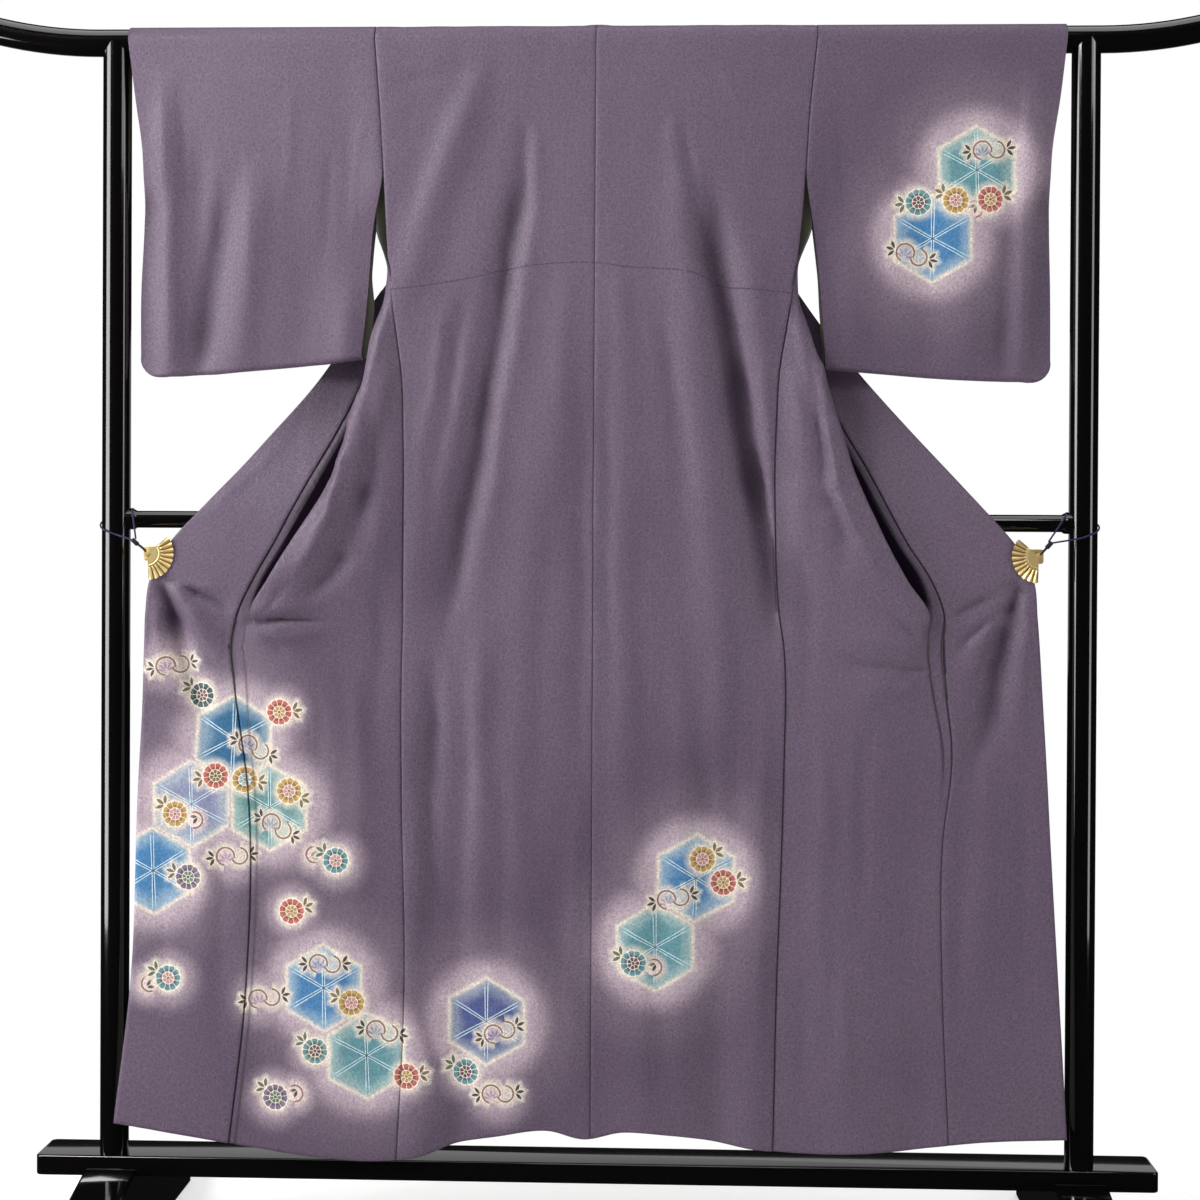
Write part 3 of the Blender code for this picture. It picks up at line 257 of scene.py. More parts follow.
FRONT_CREASES = in_metres({"left": (
    (-490, 889, -420, 893, 6, 7, -5, 0.5), (-456, 892, -362, 890, 5, 6, -4.6, 0.6),
    (-476, 907, -380, 914, 8, 14, 4, 0.3), (-474, 871, -370, 868, 10, 14, 3.6, 0.2),
    (-462, 900, -410, 950, 4, 8, -1.8, 0.5), (-466, 872, -430, 840, 4, 8, -1.8, 0.5),
    (-452, 880, -415, 896, 3, 4, 1.2, 0.6), (-440, 876, -405, 873, 3, 4, -1, 0.6),
    (-330, 1230, -350, 1090, 6, 8, 4, 0.4), (-340, 1140, -376, 998, 8, 10, 5.6, 0.4),
    (-362, 1050, -418, 946, 9, 11, 4.4, 0.4), (-298, 1180, -318, 1030, 14, 17, -7, 0.1),
    (-310, 1085, -346, 960, 16, 19, -8.2, 0.1), (-336, 992, -404, 916, 17, 14, -6.4, 0.2),
    (-286, 1260, -310, 1100, 13, 15, 3.4, 0.1), (-326, 1220, -334, 1080, 9, 11, 2.2, 0.1),
    (-296, 1040, -306, 900, 14, 18, 3, 0.1), (-330, 1080, -335, 900, 10, 16, 1.6, 0.1),
    (-300, 1000, -300, 700, 10, 14, -1.8, 0.1), (-330, 840, -320, 420, 12, 18, 2.2, 0),
    (-385, 800, -372, 460, 10, 14, -1.8, 0), (-300, 460, -305, 180, 12, 18, -1.8, 0),
    (-350, 440, -360, 180, 10, 16, 2, 0), (-292, 1340, -318, 1180, 6, 8, 1, 0.2),
), "right": (
    (466, 826, 400, 832, 6, 10, -3, 0.4), (420, 833, 316, 840, 8, 14, -2.6, 0.2),
    (456, 862, 350, 872, 12, 18, 4, 0.2), (448, 802, 350, 794, 12, 18, 2.6, 0.1),
    (446, 870, 390, 912, 5, 10, -2, 0.4), (452, 886, 404, 938, 6, 10, 1.8, 0.4),
    (442, 846, 396, 852, 4, 6, 1.2, 0.5), (446, 822, 396, 790, 5, 9, -1.4, 0.4),
    (310, 1270, 323, 1141, 7, 9, 4.2, 0.4), (320, 1170, 336, 1050, 9, 11, 5.6, 0.4),
    (332, 1070, 368, 990, 10, 12, 5, 0.4), (362, 1010, 392, 960, 10, 12, 2.8, 0.3, -0.4),
    (306, 1190, 318, 1040, 11, 15, -4.8, 0.2), (316, 1080, 352, 960, 14, 19, -6.2, 0.1),
    (276, 1240, 290, 1080, 14, 16, 3, 0.1), (282, 1100, 296, 960, 14, 18, 2.4, 0.1),
    (320, 1080, 322, 900, 10, 16, 1.6, 0.1), (286, 1000, 300, 720, 10, 14, -1.6, 0.1),
    (320, 760, 312, 340, 12, 18, 2.2, 0), (378, 760, 366, 420, 10, 14, -1.8, 0),
    (290, 420, 296, 180, 12, 18, -1.8, 0), (346, 420, 350, 180, 10, 16, 1.8, 0),
    (280, 1320, 304, 1180, 6, 8, 1, 0.2),
)}, 7)
OVERLAP_CREASES = in_metres({"left": (
    (-606, 956, -540, 918, 6, 8, -4.4, 0.4), (-574, 936, -500, 898, 6, 8, -4.6, 0.4),
    (-590, 948, -517, 827, 12, 26, 6.4, 0.3), (-610, 954, -580, 850, 8, 14, -6, 0.2),
    (-604, 940, -540, 690, 12, 24, -9.2, 0.1), (-608, 930, -616, 760, 8, 16, 3, 0.2),
    (-580, 944, -520, 930, 4, 8, 1.8, 0.5), (-570, 920, -512, 880, 4, 8, -1.8, 0.6),
    (-566, 905, -512, 855, 4, 7, 1.6, 0.6), (-560, 880, -520, 810, 5, 10, -1.6, 0.4),
    (-545, 905, -514, 890, 3, 5, 1.2, 0.6), (-555, 700, -540, 300, 14, 20, 2, 0),
    (-602, 640, -606, 260, 12, 18, -1.8, 0), (-520, 620, -520, 300, 10, 14, -1.4, 0),
    (-440, 1140, -560, 1020, 8, 10, 1, 0.1),
), "right": (
    (592, 957, 540, 926, 6, 8, -3.4, 0.4), (552, 932, 486, 898, 6, 9, -4, 0.5),
    (588, 950, 566, 890, 9, 15, -7, 0.2), (578, 930, 522, 650, 13, 30, -9.6, 0.1),
    (566, 910, 510, 800, 10, 20, 5.6, 0.2), (596, 930, 590, 720, 8, 16, 4.4, 0.2),
    (575, 928, 496, 872, 4, 9, 2, 0.5), (560, 905, 492, 850, 5, 9, -2.2, 0.5),
    (552, 890, 500, 826, 4, 8, 1.8, 0.5), (556, 872, 520, 800, 4, 8, -1.8, 0.5),
    (548, 780, 536, 360, 14, 20, 2, 0), (592, 700, 596, 260, 12, 18, -1.8, 0),
    (506, 640, 510, 300, 10, 14, -1.4, 0), (430, 1120, 545, 1010, 8, 10, 1, 0.1),
)}, 7)
SLEEVE_CREASES = in_metres({"left": (
    (-612, 1660, -606, 1300, 6, 10, 1.4, 0.3), (-582, 1640, -584, 1260, 7, 10, -1.4, 0.2),
    (-524, 1520, -562, 1250, 8, 12, -2, 0.3), (-486, 1540, -492, 1260, 8, 12, 1.4, 0.2),
    (-424, 1640, -444, 1420, 8, 10, 1, 0.2), (-370, 1560, -390, 1330, 8, 12, -1.4, 0.2),
    (-330, 1600, -345, 1400, 5, 8, 1, 0.3),
), "right": (
    (612, 1660, 606, 1300, 5, 9, 1.4, 0.3), (584, 1660, 578, 1250, 6, 9, -1.6, 0.3),
    (556, 1600, 556, 1280, 6, 10, 1.2, 0.2), (478, 1620, 492, 1300, 10, 14, 1.4, 0.1),
    (414, 1620, 430, 1300, 10, 12, -1.2, 0.1), (322, 1600, 336, 1380, 5, 8, 1.2, 0.3),
)}, 7)

# Slight waves that bend all creases: size, and turns to the metre across and up.
CREASE_WAVES = ((0.0022, 41.0, 27.0), (0.0010, 118.0, 83.0), (0.0004, 260.0, 310.0))

# The overlap's seam allowance is pressed toward the front: width of the set-back strip at each height.
STRIP_COLUMNS = ("z", "width")
STRIP_ROWS = in_metres({"left": (
    (1260, 3), (1200, 6), (1100, 10), (1000, 11), (940, 10), (900, 14), (860, 18), (800, 17), (740, 13),
    (680, 10), (600, 9), (150, 8.5),
), "right": (
    (1260, 3), (1200, 6), (1100, 10), (1000, 12), (940, 13), (900, 18), (860, 22), (800, 18), (740, 14),
    (680, 10), (600, 8), (150, 6),
)})
STRIP_DEPTH = 0.0018
STRIP_STEP = 0.0026  # over this length the cloth steps back to the strip
STRIP_LINE = 0.0019  # half the width of the painted shadow line along that step
STRIP_TOP = 1.250
STRIP_FOOT = {"left": (-0.120, 0.0), "right": (0.620, 0.740)}  # the strip fades out between these heights
SLEEVE_SHADE = {"left": 0.44, "right": 0.24}  # painted shadow: how much darker the cloth is just below a sleeve
RECESS_FOOT = 0.893  # down to here a painted dark shade lies in the recess between the strip and the front's outer ridge
RECESS_TOP = (1.40, 1.30)  # between these heights it and a sleeve's painted shadow begin
TUCK_UNDER = 0.0040  # how far a sewn edge runs on behind its neighbour
TUCK_BEHIND = 0.0026
RUN = 5  # columns over which an edge's direction is taken

# Height of the stitched tuck across the back.
TUCK_ROWS = in_metres((
    (-300, 1349), (-285, 1351), (-183, 1366), (-97, 1384), (-4, 1389), (35, 1384), (129, 1376),
    (179, 1356), (275, 1346), (300, 1339),
))

# Dyed motifs, each with its centre x and z, its turn in degrees and the names of its dyes.
HEXAGONS = in_metres((
    (526, 1518, 2, "teal"), (466, 1424, 0, "blue"), (-503, 724, -2, "deep_blue"), (-562, 632, 2, "slate"),
    (-452, 628, 1, "sea_green"), (-616, 538, 2, "blue"), (-374, 378, 1, "blue"), (-314, 284, 2, "teal"),
    (-147, 334, 0, "indigo"), (143, 536, -2, "blue"), (87, 440, 1, "teal"),
), 2)
BLOSSOMS = in_metres((
    (497, 1476, -30, "gold", "pink"), (446, 1474, 5, "teal", "plum"), (545, 1478, 200, "red", "gold"),
    (-549, 784, -35, "pine", "plum"), (-438, 762, 185, "red", "gold"), (-528, 672, 10, "red", "moss"),
    (-487, 667, 170, "gold", "pale_blue"), (-424, 652, 150, "gold", "pink"),
    (-585, 618, -40, "gold", "pink"), (-566, 530, -20, "lilac", "green"),
    (-358, 556, -35, "teal", "pink"), (-420, 484, 200, "red", "gold"), (-335, 358, -25, "gold", "pink"),
    (-594, 388, -30, "teal", "pink"), (-386, 290, -40, "sea_green", "plum"),
    (-258, 256, 190, "red", "gold"), (-442, 224, -40, "lilac", "green"), (-176, 262, -30, "teal", "plum"),
    (152, 562, -150, "gold", "pink"), (181, 530, 190, "red", "gold"), (57, 418, -30, "teal", "plum"),
), 2)
SCROLLS = in_metres((
    (543, 1546, 8), (438, 1402, -14), (-590, 826, 12), (-474, 712, -22), (-441, 602, -26), (-504, 560, 8),
    (-372, 412, 4), (-458, 362, 12), (-292, 318, -8), (-128, 320, 24), (-130, 234, 8), (112, 508, 16),
), 2)
CRESCENTS = in_metres((
    (523, 1464, 10), (-557, 610, -10), (-388, 564, 160), (-620, 380, 170), (-414, 230, 0), (85, 412, 0),
), 2)
DYES = {
    "teal": (0.105, 0.270, 0.300), "blue": (0.050, 0.190, 0.380), "deep_blue": (0.022, 0.120, 0.240),
    "slate": (0.215, 0.235, 0.360), "sea_green": (0.120, 0.270, 0.260), "indigo": (0.060, 0.080, 0.230),
    "gold": (0.480, 0.300, 0.075), "red": (0.480, 0.120, 0.095), "pine": (0.040, 0.095, 0.110),
    "lilac": (0.180, 0.140, 0.220), "pink": (0.560, 0.250, 0.260), "plum": (0.140, 0.060, 0.075),
    "moss": (0.170, 0.130, 0.030), "green": (0.110, 0.200, 0.140), "pale_blue": (0.270, 0.420, 0.440),
}
MOTIFS = {  # table, how far a motif reaches, and its dyed parts
    "hexagon": (HEXAGONS, 0.100, ("dye",)),
    "blossom": (BLOSSOMS, 0.050, ("dye", "heart")),
    "scroll": (SCROLLS, 0.060, ()),
    "crescent": (CRESCENTS, 0.040, ()),
}
FAR_AWAY = (9.0, 9.0, 0.0)

# Clips and their cords
FAN_PIVOT = {"left": (0.626, 0.982), "right": (0.612, 0.984)}
FAN_START = 40.0
FAN_END = -88.0
FAN_PLEATS = 10
FAN_WALL = 0.0009
FAN_HUB = 0.004
FAN_PLEAT_RISE = 0.0026
FAN_SCALLOP = 0.035  # how far the edge draws in between two pleats, as a share of the radius
FAN_BAND = (0.40, 0.040, 0.0012)  # a raised arc across the pleats: where, how wide and how high
FAN_DISCS = ((0.0008, 0.0046), (0.0018, 0.0030))  # height and radius of the two discs on the pivot
CORD_RADIUS = 0.00125
TIE_SPOT = {"left": Vector((-0.644, -0.0500, 0.998)), "right": Vector((0.6265, -0.0510, 1.000))}
TIE_RADIUS = 0.0045
CORD_LEAVES = (0.5, 0.05, 0.35)  # outward, back and up, off the knot
CORD_RETURNS = (-0.1, 0.45, 0.85)
CORD_ROUND_POST = ((-105, 0.010), (-75, 0.014), (-40, 0.019), (0, 0.026), (40, 0.033), (80, 0.039))
KNOT_TURNS = 4
KNOT_CORD = 0.00145
KNOT_RADIUS = 0.0020
KNOT_STEP = 0.0026
KNOT_TILT = 14
STEM_COLOUR = (0.0060, 0.0055, 0.0110, 1.0)
STEM_RADIUS = 0.0017

# The camera stands where the picture was taken, as fitted to the rack's corners.
CAMERA_PLACE = (0.1208, -3.0, 1.0)
CAMERA_TURN = math.radians(2.196)
CAMERA_DIP = math.radians(0.48)
CAMERA_ROLL = math.radians(0.291)
CAMERA_SHIFT = -0.0328

# Lamps: where each stands, what it faces, its width and height, and its power in watts
LAMPS = (
    ("strip_left", (-2.10, -0.84, 1.26), (-0.68, 0.0, 1.26), (1.05, 2.20), 34),
    ("strip_right", (2.02, -0.96, 1.26), (0.68, 0.0, 1.26), (0.50, 2.20), 8),
    ("key_high", (-2.2, -2.1, 3.0), (0.0, 0.0, 1.25), (1.0, 1.0), 66),
    ("fill_high", (2.5, -2.1, 2.7), (0.0, 0.0, 1.15), (1.1, 1.1), 7),
    ("front_high", (0.3, -2.6, 3.7), (0.0, 0.0, 1.15), (1.6, 1.0), 14),
    ("overhead", (0.0, -0.2, 4.4), (0.0, 0.0, 0.0), (3.6, 3.0), 48),
    ("behind", (0.8, 3.2, 2.6), (0.0, 0.0, 0.9), (3.0, 2.4), 60),
    ("mirrored", (0.0, 3.0, 1.1), (0.0, 0.0, 0.15), (4.6, 1.0), 5),
)
FLOOR_DROP = 0.0005
FLOOR_GLOW = (0.42, 0.42, 0.42, 1.0)


class KimonoSettings(bpy.types.PropertyGroup):
    wall: FloatProperty(name="Wall", description="Thickness of the lined cloth",
                        default=0.0015, unit="LENGTH", subtype="DISTANCE")
    cell: FloatProperty(name="Cell", description="Distance between the lines of the cloth's grid",
                        default=0.0045, unit="LENGTH", subtype="DISTANCE")
    crease: FloatProperty(name="Crease", description="Multiplies the depth of every crease",
                          default=1.25, subtype="FACTOR")
    silk: FloatVectorProperty(name="Silk", description="Colour of the outer silk",
                              default=(0.117, 0.084, 0.126, 1.0), size=4, subtype="COLOR")
    lining: FloatVectorProperty(name="Lining", description="Colour of the lining",
                                default=(0.190, 0.186, 0.142, 1.0), size=4, subtype="COLOR")


class RackSettings(bpy.types.PropertyGroup):
    sides: IntProperty(name="Sides", description="Facets round a rail or a post", default=64)
    lacquer: FloatVectorProperty(name="Lacquer", description="Colour under the lacquer's gloss",
                                 default=(0.0016, 0.0014, 0.0015, 1.0), size=4, subtype="COLOR")


class ClipSettings(bpy.types.PropertyGroup):
    fan_radius: FloatProperty(name="Fan radius", description="From the fan's pivot to its edge",
                              default=0.037, unit="LENGTH", subtype="DISTANCE")
    gilt: FloatVectorProperty(name="Gilt", description="Colour of the gilt metal",
                              default=(0.900, 0.680, 0.310, 1.0), size=4, subtype="COLOR")
    cord: FloatVectorProperty(name="Cord", description="Colour of the cord",
                              default=(0.012, 0.009, 0.062, 1.0), size=4, subtype="COLOR")


class StageSettings(bpy.types.PropertyGroup):
    lens: FloatProperty(name="Lens", description="Focal length", default=63.8, unit="CAMERA")
    floor: FloatVectorProperty(name="Floor", description="Colour of the floor",
                               default=(0.90, 0.90, 0.90, 1.0), size=4, subtype="COLOR")
    light: FloatProperty(name="Light", description="Brightness of all lamps together", default=1.0,
                         subtype="FACTOR")


class Signal:
    """A number that flows through a node tree; arithmetic on it adds Math nodes."""

    def __init__(self, graph, socket):
        self.graph = graph
        self.socket = socket

    def __add__(self, other):
        return self.graph.math("ADD", self, other)

    def __sub__(self, other):
        return self.graph.math("SUBTRACT", self, other)

    def __rsub__(self, other):
        return self.graph.math("SUBTRACT", other, self)

    def __mul__(self, other):
        return self.graph.math("MULTIPLY", self, other)

    def __truediv__(self, other):
        return self.graph.math("DIVIDE", self, other)

    def most(self, other):
        return self.graph.math("MAXIMUM", self, other)

    def least(self, other):
        return self.graph.math("MINIMUM", self, other)

    def size(self):
        return self.graph.math("ABSOLUTE", self)

    def above(self, low, high):
        """0 below low, 1 above high, smooth between; low may be the greater of the two."""
        return self.graph.ramp(self, low, high)


class Graph:
    """Writes a node tree: each method adds a node and gives back its output."""

    def __init__(self, tree):
        self.tree = tree

    def node(self, kind, inputs=None, **settings):
        node = self.tree.nodes.new(kind)
        for name, value in settings.items():
            setattr(node, name, value)
        for name, value in (inputs or {}).items():
            self.feed(node.inputs[name], value)
        return node

    def feed(self, socket, value):
        if isinstance(value, Signal):
            value = value.socket
        if isinstance(value, bpy.types.NodeSocket):
            self.tree.links.new(value, socket)
        else:
            socket.default_value = value

    def math(self, operation, *terms):
        node = self.node("ShaderNodeMath", operation=operation)
        for socket, term in zip(node.inputs, terms):
            self.feed(socket, term)
        return Signal(self, node.outputs[0])

    def ramp(self, value, low, high):
        node = self.node("ShaderNodeMapRange", {"Value": value, "From Min": low, "From Max": high},
                         interpolation_type="SMOOTHSTEP")
        return Signal(self, node.outputs["Result"])

    def mix(self, factor, first, second, blend="MIX"):
        return self.node("ShaderNodeMix", {"Factor": factor, "A": first, "B": second}, data_type="RGBA",
                         blend_type=blend).outputs["Result"]

    def toned(self, colour, red, green, blue):
        """A colour with its red, green and blue parts multiplied."""
        return self.mix(1.0, colour, (red, green, blue, 1.0), "MULTIPLY")

    def split(self, vector):
        return [Signal(self, socket) for socket in self.node("ShaderNodeSeparateXYZ", {0: vector}).outputs]

    def red_of(self, colour):
        return Signal(self, self.node("ShaderNodeSeparateColor", {0: colour}).outputs[0])

    def attribute(self, name, output="Fac"):
        return Signal(self, self.node("ShaderNodeAttribute", attribute_name=name).outputs[output])

    def place(self):
        """Where the shading point lies on the object."""
        return self.node("ShaderNodeTexCoord").outputs["Object"]

    def weave_place(self):
        """Lengths along the cloth's own two threads."""
        return self.node("ShaderNodeUVMap", uv_map="cloth").outputs["UV"]

    def stretched(self, vector, scale):
        return self.node("ShaderNodeMapping", {"Vector": vector, "Scale": scale}).outputs["Vector"]

    def noise(self, vector, scale, detail=2.0, output="Fac"):
        node = self.node("ShaderNodeTexNoise", {"Vector": vector, "Scale": scale, "Detail": detail})
        return Signal(self, node.outputs[output])

    def threads(self, vector, way, scale, distortion, detail):
        """Bands, from 0 to 1, across X or Y."""
        inputs = {"Vector": vector, "Scale": scale, "Distortion": distortion, "Detail": detail}
        node = self.node("ShaderNodeTexWave", inputs, wave_type="BANDS", bands_direction=way)
        return Signal(self, node.outputs["Fac"])

    def call(self, group, inputs):
        """Places a node group and gives back its outputs by name."""
        node = self.node("ShaderNodeGroup", inputs, node_tree=shader_group(group))
        return {socket.name: Signal(self, socket) for socket in node.outputs}

    def moved(self, operation, *terms):
        """A vector from others."""
        return self.node("ShaderNodeVectorMath", dict(enumerate(terms)), operation=operation).outputs[0]


CREAM = (0.76, 0.69, 0.56, 1.0)
BLUSH = (0.74, 0.60, 0.54, 1.0)
GLOW = (0.56, 0.46, 0.50, 1.0)
PALE_LINE = (0.60, 0.76, 0.78, 1.0)
LEAF_GREEN = (0.130, 0.125, 0.070, 1.0)
LEAF_DARK = (0.070, 0.055, 0.045, 1.0)
STEM_BROWN = (0.240, 0.145, 0.105, 1.0)
DEW_LILAC = (0.330, 0.250, 0.330, 1.0)
BLACK = (0.0, 0.0, 0.0, 1.0)
WHITE = (1.0, 1.0, 1.0, 1.0)
LEAF_START = 0.0016  # how far a leaf begins from the point it grows about


def local_frame(graph, given):
    """X and Y of a shading point in the frame of its nearest motif (centre x, centre z, turn)."""
    x, _, z = graph.split(given["Place"])
    centre_x, centre_z, turn = graph.split(given["Motif"])
    across, up = x - centre_x, z - centre_z
    cosine, sine = graph.math("COSINE", turn), graph.math("SINE", turn)
    return across * cosine + up * sine, up * cosine - across * sine


def radius_and_angle(graph, x, y):
    return graph.math("SQRT", x * x + y * y), graph.math("ARCTAN2", y, x)


def leaf(graph, x, y, base, turn, length, width):
    """Positive inside a leaf with two points: how far from its edge, in metres."""
    cosine, sine = math.cos(math.radians(turn)), math.sin(math.radians(turn))
    across, up = x - base[0], y - base[1]
    along = (across * cosine + up * sine) / length
    aside = (up * cosine - across * sine).size()
    return along * (1.0 - along) * (4.0 * width) - aside


def leaves(graph, x, y, base, turns, length, width):
    """Leaves about a point, each starting a little way off it."""
    spray = None
    for turn in turns:
        start = (base[0] + LEAF_START * math.cos(math.radians(turn)),
                 base[1] + LEAF_START * math.sin(math.radians(turn)))
        one = leaf(graph, x, y, start, turn, length, width)
        spray = spray.most(one) if spray else one
    return spray


def arc(graph, x, y, centre, radius, opening, half_open):
    """How far a point is from an open ring; large in the ring's opening."""
    across, up = x - centre[0], y - centre[1]
    reach = graph.math("SQRT", across * across + up * up)
    toward = across * math.cos(math.radians(opening)) + up * math.sin(math.radians(opening))
    closed = toward / (reach + 1e-5) - math.cos(math.radians(half_open))
    return (reach - radius).size() + closed.above(-0.03, 0.06), reach


def hexagon(graph, given):
    """A tortoiseshell hexagon with six double rays, dyed from a deep middle to a pale edge."""
    size = 0.0600
    x, y = local_frame(graph, given)
    wobble = graph.noise(given["Place"], 45.0, 2.0) - 0.5
    reach, angle = radius_and_angle(graph, x, y)
    flat = x.size().most(x.size() * 0.5 + y.size() * (math.sqrt(3) / 2)) - size * math.sqrt(3) / 2
    edge = flat + wobble * 0.0030
    inside = edge.above(0.0010, -0.0030)
    turn = graph.math("WRAP", angle - math.radians(30), math.radians(30), math.radians(-30))
    aside = graph.math("SINE", turn).size() * reach
    offset = reach * 0.018 + 0.0013
    fade = reach.above(size * 0.98, size * 0.72)
    rays = (aside - offset).size().above(0.0009, 0.0003) * fade
    groove = aside.above(0.0016, 0.0004) * reach.above(size * 0.80, size * 0.20)
    star = reach.above(0.0060, 0.0016).most(groove * 0.9)
    sector = graph.math("FLOOR", (angle - math.radians(30)) / math.radians(60))
    centre_x = graph.split(given["Motif"])[0]
    hashed = graph.node("ShaderNodeTexWhiteNoise", {"W": sector + centre_x * 37.0}, noise_dimensions="1D")
    sector_tone = Signal(graph, hashed.outputs["Value"])
    wash = graph.noise(given["Place"], 30.0, 4.0)
    depth = edge.above(-0.001, -0.030) * (sector_tone * 0.50 + 0.70) + (wash - 0.5) * 0.85
    pale = graph.mix(0.34, given["Dye"], (0.60, 0.68, 0.62, 1.0))
    tint = graph.mix(depth.above(-0.05, 0.85), pale, given["Dye"])
    tint = graph.mix(edge.above(-0.0070, -0.0005) * 0.45, tint, CREAM)
    deep = graph.mix(star * 0.80, tint, graph.mix(0.65, given["Dye"], (0.0, 0.02, 0.05, 1.0)))
    lined = graph.mix(rays * 0.85, deep, PALE_LINE)
    near, far = flat.above(0.0085, -0.0005), flat.above(0.0240, 0.0020)
    return graph.mix(inside, graph.mix(near, GLOW, CREAM), lined), inside.most(near * 0.88).most(far * 0.42)


def blossom(graph, given):
    """A round flower of two rings of petals parted by resist lines, with a spray of three leaves."""
    size, petals, hearts = 0.0175, 11.0, 7.0
    x, y = local_frame(graph, given)
    reach, angle = radius_and_angle(graph, x, y)

    def ring(count, inner, outer, shift):
        """Positive inside the petals of a ring."""
        step = 2 * math.pi / count
        turn = graph.math("WRAP", angle + shift, step / 2, -step / 2).size()
        gap = (step / 2 - turn) * reach - 0.00048
        scallop = outer - (turn / (step / 2)) * (turn / (step / 2)) * 0.0014
        return gap.least(scallop - reach).least(reach - inner)

    outer = ring(petals, size * 0.52, size, 0.0)
    inner = ring(hearts, size * 0.17, size * 0.47, 0.3)
    pistil = size * 0.12 - reach
    tone = graph.noise(given["Place"], 220.0, 2.0)
    dark = graph.toned(given["Dye"], 0.38, 0.30, 0.30)
    petal = graph.mix(reach.above(size * 0.86, size * 0.56) * 0.80, given["Dye"], dark)
    petal = graph.mix(tone.above(0.50, 0.85) * 0.30, petal, CREAM)
    colour = graph.mix(outer.above(-0.00030, 0.00025), CREAM, petal)
    heart = graph.mix(reach.above(size * 0.36, size * 0.15) * 0.6, given["Heart"], dark)
    colour = graph.mix(inner.most(pistil).above(-0.00025, 0.00020), colour, heart)
    spray = leaves(graph, x, y, (-size - 0.0014, 0.0), (184, 128, 238), 0.0128, 0.0023)
    leaf_colour = graph.mix(tone, LEAF_GREEN, graph.mix(0.35, LEAF_GREEN, given["Dye"]))
    colour = graph.mix(spray.above(-0.0003, 0.0002), colour, leaf_colour)
    edge = (size - reach).most(spray)
    return colour, edge.above(-0.0028, -0.0012).most(edge.above(-0.0120, -0.0008) * 0.60)


def scroll(graph, given):
    """Two open rings of vine that hook into each other, with leaves at both ends."""
    x, y = local_frame(graph, given)
    left, left_reach = arc(graph, x, y, (-0.0095, 0.0005), 0.0125, -62, 42)
    right, right_reach = arc(graph, x, y, (0.0100, -0.0010), 0.0112, 138, 58)
    vine = left.least(right)
    spray = leaves(graph, x, y, (-0.0246, 0.0010), (180, 126, 234), 0.0118, 0.0021)
    spray = spray.most(leaves(graph, x, y, (0.0238, -0.0010), (0, 54, -54), 0.0118, 0.0021))
    fan = leaves(graph, x, y, (-0.0095, -0.0058), (14, 52, 90, 128, 166), 0.0118, 0.0015)
    stem = vine.above(0.0017, 0.0009)
    sprig = spray.above(-0.0003, 0.0002)
    ring = left_reach.above(0.0135, 0.0120).most(right_reach.above(0.0120, 0.0106))
    outline = vine.above(0.0040, 0.0020).most(spray.above(-0.0024, -0.0008)).most(ring * 0.62)
    glow = vine.above(0.0130, 0.0030).most(spray.above(-0.0095, -0.0010))
    colour = graph.mix(left_reach.above(0.0130, 0.0100), CREAM, BLUSH)
    colour = graph.mix(fan.above(-0.0002, 0.0003), colour, DEW_LILAC)
    colour = graph.mix(stem, colour, STEM_BROWN)
    colour = graph.mix(sprig, colour, LEAF_DARK)
    return colour, (outline * 0.95).most(stem).most(sprig).most(glow * 0.60)


def crescent(graph, given):
    """One open ring of vine round two small leaves."""
    x, y = local_frame(graph, given)
    vine, reach = arc(graph, x, y, (0.0, 0.0), 0.0112, 195, 72)
    spray = leaves(graph, x, y, (0.0040, 0.0055), (190, 245), 0.0105, 0.0021)
    stem = vine.above(0.0017, 0.0009)
    sprig = spray.above(-0.0003, 0.0002)
    outline = vine.above(0.0038, 0.0020).most(spray.above(-0.0022, -0.0008))
    outline = outline.most(reach.above(0.0115, 0.0100))
    glow = vine.above(0.0120, 0.0030).most(spray.above(-0.0085, -0.0010))
    colour = graph.mix(stem, BLUSH, STEM_BROWN)
    colour = graph.mix(sprig, colour, LEAF_DARK)
    return colour, (outline * 0.90).most(stem).most(sprig).most(glow * 0.55)


